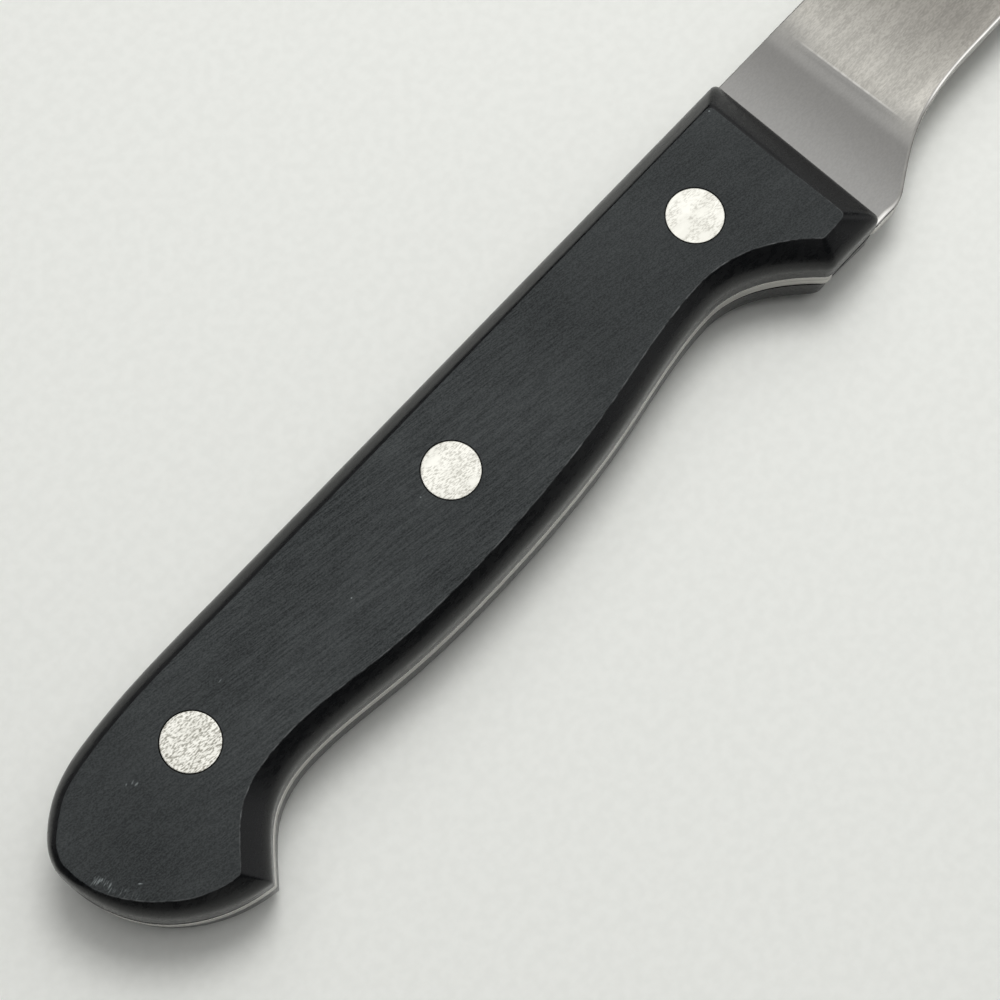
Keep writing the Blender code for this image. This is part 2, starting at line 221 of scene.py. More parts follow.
@dataclass(frozen=True)
class Outline:
    """A closed outline through knots, and the edge of the flat face inside it."""

    knots: Sequence[Knot]
    spacing: float
    ridge_radius: float = 0.0008
    corner_steps: int = 8
    least_steps: int = 4

    def trace(self, ridge: bool = False) -> list[Vector]:
        """Traces the outline, or the edge of the flat face, with as many points either way.

        Args:
            ridge: Whether to trace the edge of the flat face.

        Returns:
            The points of the closed line, in order.
        """
        arrivals: list[Vector] = []
        departures: list[Vector] = []
        for knot in self.knots:
            point = knot.ridge_point() if ridge else knot.point
            trim = knot.trim(self.ridge_radius if ridge else knot.radius)
            arrivals.append(point - towards(knot.heading_in) * trim)
            departures.append(point + towards(knot.heading_out) * trim)
        points: list[Vector] = []
        for index, knot in enumerate(self.knots):
            following = (index + 1) % len(self.knots)
            after = self.knots[following]
            if knot.is_corner:
                points += self.span(arrivals[index], knot.heading_in,
                                    departures[index], knot.heading_out, self.corner_steps)
            steps = max(self.least_steps, math.ceil((after.point - knot.point).length / self.spacing))
            points += self.span(departures[index], knot.heading_out,
                                arrivals[following], after.heading_in, steps)
        return points

    @staticmethod
    def span(start: Vector, heading_in: float, end: Vector, heading_out: float, steps: int) -> list[Vector]:
        """Points of a cubic curve between two headings, without its end; a round turn comes out round.

        Args:
            start: The first point.
            heading_in: The heading there.
            end: The last point, which is left out.
            heading_out: The heading there.
            steps: How many points to give.

        Returns:
            The points in order.
        """
        turn = math.radians(abs(turn_between(heading_in, heading_out)))
        chord = (end - start).length
        reach = chord / 3
        if turn > 0:
            reach = chord * 2 / 3 * math.tan(turn / 4) / math.sin(turn / 2)
        first_handle = start + towards(heading_in) * reach
        second_handle = end - towards(heading_out) * reach
        return [cubic(start, first_handle, second_handle, end, step / steps) for step in range(steps)]


@dataclass(frozen=True)
class FrameSizes:
    """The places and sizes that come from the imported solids."""

    middle_x: float
    rivet_pitch: float
    front_end: float
    butt_end: float
    tip_end: float
    spine_rise: float
    seat: dict[Side, float]
    outer_face: dict[Side, float]

    @classmethod
    def read(cls) -> "FrameSizes":
        """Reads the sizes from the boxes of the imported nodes.

        Returns:
            The sizes, in handle coordinates apart from the middle rivet's own place.
        """
        centres = {}
        for place in RivetPlace:
            low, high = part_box(f"{place.name.lower()}_rivet_barrel")
            centres[place] = (low.x + high.x) / 2
        middle_x = centres[RivetPlace.MIDDLE]
        upper_low, upper_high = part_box("upper_scale")
        lower_low, lower_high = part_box("lower_scale")
        blade_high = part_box("fork_blade")[1]
        return cls(
            middle_x=middle_x,
            rivet_pitch=centres[RivetPlace.FRONT] - middle_x,
            front_end=upper_high.x - middle_x,
            butt_end=upper_low.x - middle_x,
            tip_end=blade_high.x - middle_x,
            spine_rise=upper_high.y,
            seat={Side.UPPER: upper_low.z, Side.LOWER: lower_high.z},
            outer_face={Side.UPPER: upper_high.z, Side.LOWER: lower_low.z},
        )

    def rivet_x(self, place: RivetPlace) -> float:
        """Where a rivet stands along the handle."""
        steps = {RivetPlace.REAR: -1, RivetPlace.MIDDLE: 0, RivetPlace.FRONT: 1}
        return steps[place] * self.rivet_pitch

    @property
    def tang_middle(self) -> float:
        """Height of the middle of the tang."""
        return (self.seat[Side.UPPER] + self.seat[Side.LOWER]) / 2


@dataclass(frozen=True)
class HandleShape:
    """The outline that the tang and the two scales share.

    Leads and setbacks are counted along the handle from the butt or from a rivet, rises and drops
    from the rivet line. A run is the width of a scale's rounded side at a place. A swell is the share
    of the drop from a waist to the belly that is reached halfway between them.
    """

    sizes: FrameSizes
    spine_straight_lead: float = 0.0369
    spine_run: float = 0.0022
    spine_fall_lead: float = 0.0119
    spine_fall: float = 0.00085
    spine_fall_heading: float = 187.0
    spine_fall_run: float = 0.0019
    upper_butt_lead: float = 0.0043
    upper_butt_rise: float = 0.00675
    upper_butt_heading: float = 214.0
    upper_butt_run: float = 0.0015
    butt_rise: float = 0.0003
    butt_run: float = 0.001
    lower_butt_lead: float = 0.0051
    lower_butt_drop: float = 0.01205
    lower_butt_heading: float = 316.5
    lower_butt_run: float = 0.00185
    hook_setback: float = 0.0049
    hook_drop: float = 0.01697
    hook_headings: Pair = (352.0, 47.0)
    hook_run: float = 0.0024
    hook_radius: float = 0.0004
    hook_flank_setback: float = 0.0005
    hook_flank_drop: float = 0.0125
    hook_flank_heading: float = 40.0
    hook_flank_run: float = 0.0031
    rear_waist_lead: float = 0.008
    rear_waist_drop: float = 0.00983
    rear_waist_run: float = 0.0025
    rear_swell: float = 0.68
    rear_swell_heading: float = -6.3
    belly_setback: float = 0.005
    belly_drop: float = 0.01212
    belly_run: float = 0.0022
    front_swell: float = 0.72
    front_swell_heading: float = 7.0
    front_swell_run: float = 0.0024
    front_waist_setback: float = 0.0062
    front_waist_drop: float = 0.0083
    front_waist_run: float = 0.00225
    horn_length: float = 0.0089
    horn_drop: float = 0.01595
    horn_heading: float = -48.0
    horn_back_run: float = 0.0026
    horn_run: float = 0.00285
    horn_radius: float = 0.0018
    front_run: float = 0.0039
    end_radius: float = 0.0008

    @property
    def front_waist(self) -> float:
        """Where the waist behind the horn is narrowest."""
        return self.sizes.rivet_x(RivetPlace.FRONT) - self.front_waist_setback

    @property
    def horn(self) -> float:
        """Where the underside of the horn starts."""
        return self.sizes.front_end - self.horn_length

    @property
    def horn_corner(self) -> Knot:
        """The rounded rear corner under the horn."""
        return Knot(self.horn, -self.horn_drop, self.horn_heading, TO_TINES,
                    self.horn_back_run, self.horn_run, self.horn_radius)

    def shared_knots(self) -> list[Knot]:
        """Gives the knots from the spine round the butt and along the belly to the front waist.

        Returns:
            The knots in order.
        """
        butt = self.sizes.butt_end
        rear = self.sizes.rivet_x(RivetPlace.REAR)
        spine = self.sizes.spine_rise
        belly = -self.belly_setback
        rear_waist = rear + self.rear_waist_lead
        rear_swell = self.rear_swell * (self.belly_drop - self.rear_waist_drop)
        front_swell = self.front_swell * (self.belly_drop - self.front_waist_drop)
        return [
            smooth(butt + self.spine_straight_lead, spine, TO_BUTT, self.spine_run),
            smooth(butt + self.spine_fall_lead, spine - self.spine_fall,
                   self.spine_fall_heading, self.spine_fall_run),
            smooth(butt + self.upper_butt_lead, self.upper_butt_rise,
                   self.upper_butt_heading, self.upper_butt_run),
            smooth(butt, self.butt_rise, TO_BELLY, self.butt_run),
            smooth(butt + self.lower_butt_lead, -self.lower_butt_drop,
                   self.lower_butt_heading, self.lower_butt_run),
            Knot(rear - self.hook_setback, -self.hook_drop, *self.hook_headings,
                 self.hook_run, self.hook_flank_run, self.hook_radius),
            smooth(rear - self.hook_flank_setback, -self.hook_flank_drop,
                   self.hook_flank_heading, self.hook_flank_run),
            smooth(rear_waist, -self.rear_waist_drop, TO_TINES, self.rear_waist_run),
            smooth((rear_waist + belly) / 2, -(self.rear_waist_drop + rear_swell),
                   self.rear_swell_heading, self.belly_run),
            smooth(belly, -self.belly_drop, TO_TINES, self.belly_run),
            smooth((belly + self.front_waist) / 2, -(self.front_waist_drop + front_swell),
                   self.front_swell_heading, self.front_swell_run),
            smooth(self.front_waist, -self.front_waist_drop, TO_TINES, self.front_waist_run),
        ]

    def scale_knots(self) -> list[Knot]:
        """Gives the closed outline of a scale.

        Returns:
            The knots in order.
        """
        front = self.sizes.front_end
        spine = self.sizes.spine_rise
        return [
            Knot(front, spine, TO_SPINE, TO_BUTT, self.front_run, self.spine_run, self.end_radius),
            *self.shared_knots(),
            self.horn_corner,
            Knot(front, -self.horn_drop, TO_TINES, TO_SPINE, self.horn_run, self.front_run, self.end_radius),
        ]


def put_in_scene(name: str, data: bpy.types.ID, place: Vector | Place) -> Piece:
    """Adds an object to the scene.

    Args:
        name: The object's name.
        data: Its mesh, lamp or camera.
        place: Where it stands in the frame.

    Returns:
        The new object.
    """
    item = bpy.data.objects.new(name, data)
    item.location = place
    bpy.context.scene.collection.objects.link(item)
    return item


def aim(item: Piece, direction: Vector) -> None:
    """Turns a lamp or a camera to look along a direction."""
    item.rotation_mode = "QUATERNION"
    item.rotation_quaternion = direction.to_track_quat("-Z", "Y")


class MeshSketch:
    """A mesh that is put together ring by ring and fill by fill."""

    INSIDE_ONLY = 1
    TOLERANCE = 1e-9

    def __init__(self, name: str) -> None:
        """Starts an empty mesh with a float per point for wear, which on the blade's edge carries a painted
        highlight instead.

        Args:
            name: The name of the piece that it becomes.
        """
        self.name = name
        self.data = bmesh.new()
        self.wear = self.data.verts.layers.float.new("wear")

    def ring(self, points: Iterable[Vector], wear: Sequence[float] = ()) -> Ring:
        """Adds a closed ring of points.

        Args:
            points: The points in order.
            wear: How worn each point is, or on the blade's edge how strong its painted highlight is; nothing
                where none is.

        Returns:
            The new vertices in order.
        """
        ring = [self.data.verts.new(point) for point in points]
        for vertex, amount in zip(ring, wear):
            vertex[self.wear] = amount
        return ring

    def bridge(self, rings: Sequence[Ring], finish: int = 0) -> None:
        """Closes the bands between rings that follow each other.

        Args:
            rings: Rings of the same number of points.
            finish: The material slot of the bands.
        """
        for lower, upper in zip(rings, rings[1:]):
            for index in range(len(lower)):
                after = (index + 1) % len(lower)
                face = self.data.faces.new((lower[index], lower[after], upper[after], upper[index]))
                face.material_index = finish

    def fan(self, ring: Ring, height: float) -> None:
        """Closes a ring about the sketch's axis with a fan of triangles.

        Args:
            ring: The ring to close.
            height: The height of the middle point.
        """
        centre = self.data.verts.new((0, 0, height))
        for index in range(len(ring)):
            self.data.faces.new((centre, ring[index], ring[(index + 1) % len(ring)]))

    def fill(self, border: Ring, holes: Sequence[Ring], inner: Sequence[Vector],
             height: Callable[[float, float], float], finish: int) -> None:
        """Closes a border with triangles over inner points, around holes.

        Args:
            border: The outer ring.
            holes: Rings that stay open.
            inner: Flat places of the points between them.
            height: Gives the height of an inner point from its x and y.
            finish: The material slot of the triangles.
        """
        rings = [border, *holes]
        corners = [vertex for ring in rings for vertex in ring]
        flat = [vertex.co.to_2d() for vertex in corners] + list(inner)
        edges = []
        for ring in rings:
            start = len(edges)
            edges += [(start + index, start + (index + 1) % len(ring)) for index in range(len(ring))]
        places, _, faces, sources, _, _ = delaunay_2d_cdt(flat, edges, [], self.INSIDE_ONLY, self.TOLERANCE)
        vertices = []
        for place, source in zip(places, sources):
            if source and source[0] < len(corners):
                vertices.append(corners[source[0]])
            else:
                vertices.append(self.data.verts.new((place.x, place.y, height(place.x, place.y))))
        hole_circles = [self.circle_of(ring) for ring in holes]
        for triangle in faces:
            middle = sum((places[index] for index in triangle), Vector((0, 0))) / len(triangle)
            if any((middle - centre).length < radius for centre, radius in hole_circles):
                continue
            face = self.data.faces.new([vertices[index] for index in triangle])
            face.material_index = finish

    @staticmethod
    def circle_of(ring: Ring) -> tuple[Vector, float]:
        """Finds the circle that a round ring's sides touch.

        Args:
            ring: The ring.

        Returns:
            Its centre, and the least distance of its sides from there.
        """
        centre = sum((vertex.co.to_2d() for vertex in ring), Vector((0, 0))) / len(ring)
        middles = [(first.co + second.co).to_2d() / 2 for first, second in zip(ring, ring[1:])]
        return centre, min((middle - centre).length for middle in middles)

    def piece(self, x: float, crease: float) -> Piece:
        """Makes the object, shaded smooth between its sharp edges.

        Args:
            x: Where the sketch's origin lies along X in the frame.
            crease: Edges sharper than this angle stay crisp.

        Returns:
            The new object, in the scene and still without a finish.
        """
        bmesh.ops.recalc_face_normals(self.data, faces=self.data.faces)
        mesh = bpy.data.meshes.new(self.name)
        self.data.to_mesh(mesh)
        self.data.free()
        mesh.shade_smooth()
        mesh.set_sharp_from_angle(angle=math.radians(crease))
        item = put_in_scene(self.name, mesh, (x, 0.0, 0.0))
        weighting = item.modifiers.new("flat faces stay flat", "WEIGHTED_NORMAL")
        weighting.keep_sharp = True
        return item


def circle(x: float, radius: float, height: float, steps: int) -> list[Vector]:
    """Points of a level circle about the rivet line."""
    spokes = [radius * towards(360 * step / steps) for step in range(steps)]
    return [Vector((x + spoke.x, spoke.y, height)) for spoke in spokes]


def inside_points(border: Ring, stations: Sequence[float], row: float,
                  margin: float, avoid: Sequence[Pair]) -> list[Vector]:
    """Places in rows across an outline, clear of its border.

    Args:
        border: The ring round the outline.
        stations: Where the rows lie along X.
        row: The spacing of places within a row.
        margin: The least distance from the border's points.
        avoid: Circles on the rivet line to keep out of, as (x, radius).

    Returns:
        The places, row by row.
    """
    edge = np.array([vertex.co.to_2d() for vertex in border])
    after = np.roll(edge, -1, axis=0)
    low, high = edge[:, 1].min(), edge[:, 1].max()
    rows = np.arange(low + row / 2, high, row)
    places: list[Vector] = []
    for x in stations:
        crossing = (edge[:, 0] > x) != (after[:, 0] > x)
        if not crossing.any():
            continue
        share = (x - edge[crossing, 0]) / (after[crossing, 0] - edge[crossing, 0])
        cuts = edge[crossing, 1] + share * (after[crossing, 1] - edge[crossing, 1])
        for y in rows:
            if (cuts > y).sum() % 2 == 0:
                continue
            if np.hypot(edge[:, 0] - x, edge[:, 1] - y).min() < margin:
                continue
            if any(math.hypot(x - centre, y) < radius + margin for centre, radius in avoid):
                continue
            places.append(Vector((x, y)))
    return places


def evenly(start: float, end: float, spacing: float) -> list[float]:
    """Values from start up to end, about as far apart as the spacing."""
    steps = max(1, round((end - start) / spacing))
    return [start + (end - start) * step / steps for step in range(steps)]


@dataclass(frozen=True)
class Grain:
    """A noise pattern: its waves to the metre along each axis, and the levels that become 0 and 1."""

    waves: Triple
    levels: Pair = (0.3, 0.7)
    detail: float = 2.0
    start: Place = ORIGIN


@dataclass(frozen=True)
class Specks:
    """Small round dots: cells to the metre, a dot's radius in cells and the share of cells with one."""

    per_metre: float
    radius: float
    share: float


@dataclass(frozen=True)
class Scuff:
    """A short scratch on the flat face, in handle coordinates."""

    x: float
    y: float
    length: float
    width: float
    heading: float
    strength: float = 1.0


@dataclass(frozen=True)
class ScuffBand:
    """Short fine scratches strewn along a line on the flat face, the strongest near its start."""

    start: Pair
    end: Pair
    count: int
    seed: int
    spread: float = 0.0004
    heading: float = 13.0
    turn: float = 10.0
    length: Pair = (0.0004, 0.0012)
    width: Pair = (0.00010, 0.00018)
    strength: Pair = (0.10, 0.50)
    fading: float = 0.6

    def scuffs(self) -> list[Scuff]:
        """Strews the scratches.

        Returns:
            The scratches, in the order that they were drawn.
        """
        chance = random.Random(self.seed)
        line = Vector(self.end) - Vector(self.start)
        across = line.orthogonal().normalized()
        scratches = []
        for _ in range(self.count):
            share = chance.random()
            place = Vector(self.start) + line * share + across * chance.uniform(-self.spread, self.spread)
            heading = self.heading + chance.uniform(-self.turn, self.turn)
            length = chance.uniform(*self.length)
            width = chance.uniform(*self.width)
            strength = chance.uniform(*self.strength) * (1 - self.fading * share)
            scratches.append(Scuff(place.x, place.y, length, width, heading, strength))
        return scratches


UPPER_SCUFFS = (
    *ScuffBand((-0.0604, -0.0028), (-0.0588, -0.0079), 34, seed=5).scuffs(),
    Scuff(-0.0604, -0.0031, 0.0011, 0.00016, 9, 0.60),
    Scuff(-0.0602, -0.0034, 0.0012, 0.00014, 12, 0.50),
    Scuff(-0.0573, -0.0069, 0.0007, 0.00017, -45),
    Scuff(-0.0507, 0.0019, 0.0005, 0.00023, 30, 0.4),
    Scuff(-0.0500, 0.0016, 0.0007, 0.00019, 20, 0.6),
    Scuff(-0.0499, 0.0011, 0.0008, 0.00029, 5, 0.5),
    Scuff(-0.0354, 0.0024, 0.0007, 0.00013, 5, 0.6),
    Scuff(-0.0186, -0.0019, 0.0003, 0.00026, 0, 0.6),
    Scuff(-0.0047, 0.0004, 0.0003, 0.00026, 0, 0.7),
    Scuff(0.0538, 0.0076, 0.0003, 0.00026, 0, 0.6),
)


class NodeSketch:
    """A node tree that is put together step by step."""

    MIX_FIRST = 6
    MIX_SECOND = 7
    MIX_RESULT = 2

    def __init__(self, tree: bpy.types.NodeTree) -> None:
        """Takes up a tree to add nodes to."""
        self.tree = tree

    def feed(self, socket: Socket, value: Value) -> None:
        """Links a socket into another, or sets a plain value on it.

        Args:
            socket: The socket that takes the value.
            value: Another socket, a number or a colour.
        """
        if isinstance(value, bpy.types.NodeSocket):
            self.tree.links.new(value, socket)
        elif isinstance(value, tuple):
            socket.default_value = (*value, 1.0)[:len(socket.default_value)]
        else:
            socket.default_value = value

    def feed_named(self, node: bpy.types.Node, values: dict[str, Value]) -> None:
        """Feeds a node's sockets, named with underscores for spaces."""
        for name, value in values.items():
            self.feed(node.inputs[name.replace("_", " ")], value)

    def node(self, kind: str, settings: dict[str, str] | None = None,
             *values: Value, **named: Value) -> bpy.types.Node:
        """Adds a node and feeds it.

        Args:
            kind: The kind of shader node.
            settings: The node's own settings by name, where some aren't as usual.
            values: What its first sockets take, in order.
            named: What other sockets take, named with underscores for spaces.

        Returns:
            The new node.
        """
        node = self.tree.nodes.new(f"ShaderNode{kind}")
        for name, setting in (settings or {}).items():
            setattr(node, name, setting)
        for socket, value in zip(node.inputs, values):
            self.feed(socket, value)
        self.feed_named(node, named)
        return node

    def math(self, operation: str, first: Value, second: Value = 0.0) -> Socket:
        """Arithmetic on one or two numbers."""
        return self.node("Math", {"operation": operation}, first, second).outputs["Value"]

    def times(self, first: Value, second: Value) -> Socket:
        """The product of two numbers."""
        return self.math("MULTIPLY", first, second)

    def plus(self, first: Value, second: Value) -> Socket:
        """The sum of two numbers."""
        return self.math("ADD", first, second)

    def level(self, value: Socket, low: float, high: float,
              to_low: float = 0.0, to_high: float = 1.0) -> Socket:
        """Eases a value from one range into another, clamped."""
        easing = {"interpolation_type": "SMOOTHSTEP"}
        return self.node("MapRange", easing, value, low, high, to_low, to_high).outputs["Result"]

    def between(self, share: Socket, ends: Pair) -> Socket:
        """Eases a share from 0 to 1 into a range."""
        return self.level(share, 0.0, 1.0, *ends)

    def blend(self, share: Socket, first: Socket | Colour, second: Socket | Colour) -> Socket:
        """Mixes two colours.

        Args:
            share: The share of the second colour.
            first: The colour at a share of 0.
            second: The colour at a share of 1.

        Returns:
            The mixed colour.
        """
        node = self.node("Mix", {"data_type": "RGBA"}, share)
        self.feed(node.inputs[self.MIX_FIRST], first)
        self.feed(node.inputs[self.MIX_SECOND], second)
        return node.outputs[self.MIX_RESULT]

    def shade(self, colour: Socket | Colour, factor: Socket) -> Socket:
        """A colour times a number."""
        return self.node("VectorMath", {"operation": "SCALE"}, colour, Scale=factor).outputs["Vector"]


class Recipe(NodeSketch):
    """The node tree of one material, whose patterns follow the object's own coordinates."""

    ANY_HEIGHT = 1e3
    STROKE_CORE = 0.35
    PULSE_CORE = 0.25
    SPECK_CORE = 0.5
    SPECK_CHOICE = 0.9

    def __init__(self, name: str) -> None:
        """Starts a Principled material.

        Args:
            name: The material's name.
        """
        self.material = bpy.data.materials.new(name)
        self.material.use_nodes = True
        super().__init__(self.material.node_tree)
        self.shader = self.tree.nodes["Principled BSDF"]
        self.place: Socket = self.node("TexCoord").outputs["Object"]

    def finish(self, **values: Value) -> Material:
        """Feeds the shader's sockets, named with underscores for spaces, and gives the material."""
        self.feed_named(self.shader, values)
        return self.material

    def placed(self, sizes: Triple, start: Place, heading: float) -> Socket:
        """Counts the object's coordinates afresh.

        Args:
            sizes: The unit along each axis.
            start: Where the new coordinates start.
            heading: Where the new X axis points.

        Returns:
            The new coordinates.
        """
        turn = (0.0, 0.0, math.radians(heading))
        mapping = self.node("Mapping", {"vector_type": "TEXTURE"}, Vector=self.place,
                            Location=start, Rotation=turn, Scale=sizes)
        return mapping.outputs["Vector"]

    def noise(self, grain: Grain, heading: float = 0.0) -> Socket:
        """Makes cloudy noise.

        Args:
            grain: Its waves, detail and start; the levels are left aside.
            heading: Where the grain's first axis points.

        Returns:
            The noise, about 0.5 on average.
        """
        sizes = tuple(1 / waves for waves in grain.waves)
        vector = self.placed(sizes, grain.start, heading)
        return self.node("TexNoise", Vector=vector, Scale=1.0, Detail=grain.detail).outputs["Fac"]

    def grain(self, grain: Grain, heading: float = 0.0, ends: Pair = (0.0, 1.0)) -> Socket:
        """Noise with its levels eased into a range."""
        return self.level(self.noise(grain, heading), *grain.levels, *ends)

    def specks(self, specks: Specks) -> Socket:
        """Makes small round dots.

        Args:
            specks: Their number and size.

        Returns:
            The mask, 1 in the middle of a dot and 0 outside.
        """
        cells = self.node("TexVoronoi", Vector=self.place, Scale=specks.per_metre)
        near = self.level(cells.outputs["Distance"], specks.radius, specks.radius * self.SPECK_CORE)
        draw = self.node("SeparateColor", Color=cells.outputs["Color"]).outputs["Red"]
        chosen = self.level(draw, 1 - specks.share, 1 - specks.share * self.SPECK_CHOICE)
        return self.times(near, chosen)

    def stroke(self, scuff: Scuff) -> Socket:
        """Draws a short soft stroke on the face.

        Args:
            scuff: Where the stroke lies, and how long and wide it is.

        Returns:
            The mask, 1 in the stroke's core and 0 outside it.
        """
        sizes = (scuff.length / 2, scuff.width / 2, self.ANY_HEIGHT)
        vector = self.placed(sizes, (scuff.x, scuff.y, 0.0), scuff.heading)
        reach = self.node("VectorMath", {"operation": "LENGTH"}, vector).outputs["Value"]
        return self.level(reach, 1.0, self.STROKE_CORE)

    def pulse(self, value: Socket, middle: float, half_width: float) -> Socket:
        """1 where a value is near the middle, easing to 0 half a width away."""
        gap = self.math("ABSOLUTE", self.math("SUBTRACT", value, middle))
        return self.level(gap, half_width, half_width * self.PULSE_CORE)

    def axis(self, name: str) -> Socket:
        """One of the object's coordinates, named X, Y or Z."""
        return self.node("SeparateXYZ", Vector=self.place).outputs[name]

    def attribute(self, name: str) -> Socket:
        """A number that the mesh carries."""
        return self.node("Attribute", {"attribute_name": name}).outputs["Fac"]

    def bump(self, height: Socket, distance: float) -> Socket:
        """A surface normal from heights; the distance is that of a height of 1."""
        return self.node("Bump", Distance=distance, Height=height).outputs["Normal"]


@dataclass(frozen=True)
class RubbedPatches:
    """The wear that the mesh carries at a ridge, broken into patches."""

    pattern: Grain = Grain((900, 900, 900), (0.35, 0.62))
    strengths: Pair = (0.15, 1.0)

    def mask(self, recipe: Recipe) -> Socket:
        """How worn each place is, from 0 to 1."""
        return recipe.times(recipe.attribute("wear"), recipe.grain(self.pattern, ends=self.strengths))


@dataclass(frozen=True)
class SandedFace:
    """The flat face of a scale: matte, sanded along the handle, worn light at its ridge."""

    side: Side
    scuffs: Sequence[Scuff] = ()
    dark: Colour = (0.0060, 0.0080, 0.0086)
    light: Colour = (0.0660, 0.0720, 0.0726)
    worn: Colour = (0.21, 0.22, 0.22)
    scratch: Colour = (0.36, 0.40, 0.40)
    speck: Colour = (0.22, 0.22, 0.21)
    roughness: Pair = (0.50, 0.66)
    specular: float = 0.22
    sanding: float = -10.0
    fine: Grain = Grain((4600, 8600, 8600), (0.34, 0.66), 1.0)
    fine_weight: float = 0.40
    streak: Grain = Grain((300, 6600, 6600), (0.32, 0.68), start=(0.003, 0.0, 0.0))
    streak_middle: float = 0.5
    streak_depth: Pair = (0.18, 0.38)
    cloud: Grain = Grain((60, 75, 75), (0.25, 0.75))
    cloud_weight: float = 0.25
    base_tone: float = 0.19
    # The face is lighter along the middle of the handle, and its sanding streaks are deeper there.
    sanding_height: float = 0.000012
    centre_x: float = -0.012
    centre_reach: float = 0.048
    centre_lightening: float = 1.14
    wear: RubbedPatches = RubbedPatches()
    specks: Specks = Specks(640, 0.075, 0.035)
    scratch_full: float = 0.7
    scratch_strengths: Pair = (0.35, 1.0)

    def material(self) -> Material:
        """Makes the material.

        Returns:
            The finish of one scale's face.
        """
        recipe = Recipe(f"{self.side.name.lower()}_scale_sanded_face")
        fine = recipe.grain(self.fine, self.sanding)
        streak = recipe.grain(self.streak, self.sanding)
        # 1 about the middle of the handle, easing to 0 towards its ends.
        near_centre = recipe.pulse(recipe.axis("X"), self.centre_x, self.centre_reach)
        depth = recipe.between(near_centre, self.streak_depth)
        lines = recipe.times(recipe.math("SUBTRACT", streak, self.streak_middle), depth)
        height = recipe.plus(recipe.times(fine, self.fine_weight), lines)
        tone = recipe.plus(height, recipe.times(recipe.grain(self.cloud), self.cloud_weight))
        tone = recipe.plus(tone, self.base_tone)
        colour = recipe.blend(tone, self.dark, self.light)
        colour = recipe.shade(colour, recipe.between(near_centre, (1.0, self.centre_lightening)))
        colour = recipe.blend(self.wear.mask(recipe), colour, self.worn)
        colour = recipe.blend(recipe.specks(self.specks), colour, self.speck)
        broken = recipe.level(streak, 0.0, self.scratch_full, *self.scratch_strengths)
        for scuff in self.scuffs:
            mark = recipe.times(recipe.stroke(scuff), scuff.strength)
            colour = recipe.blend(recipe.times(mark, broken), colour, self.scratch)
        return recipe.finish(
            Base_Color=colour,
            Roughness=recipe.between(tone, self.roughness),
            Specular_IOR_Level=self.specular,
            Normal=recipe.bump(height, self.sanding_height),
        )


@dataclass(frozen=True)
class SatinFlank:
    """The rounded sides of a scale: smooth, nearly black, rubbed grey at the ridge."""

    dark: Colour = (0.0012, 0.0016, 0.0022)
    light: Colour = (0.0030, 0.0034, 0.0040)
    worn: Colour = (0.10, 0.105, 0.105)
    roughness: Pair = (0.24, 0.32)
    specular: float = 0.36
    mottle: Grain = Grain((700, 1500, 1500), detail=3.0)
    mottle_height: float = 0.000003
    wear: RubbedPatches = RubbedPatches()

    def material(self) -> Material:
        """Makes the material.

        Returns:
            The finish of both scales' sides.
        """
        recipe = Recipe("scale_satin_flank")
        mottle = recipe.grain(self.mottle)
        plain = recipe.blend(mottle, self.dark, self.light)
        return recipe.finish(
            Base_Color=recipe.blend(self.wear.mask(recipe), plain, self.worn),
            Roughness=recipe.between(mottle, self.roughness),
            Specular_IOR_Level=self.specular,
            Normal=recipe.bump(mottle, self.mottle_height),
        )


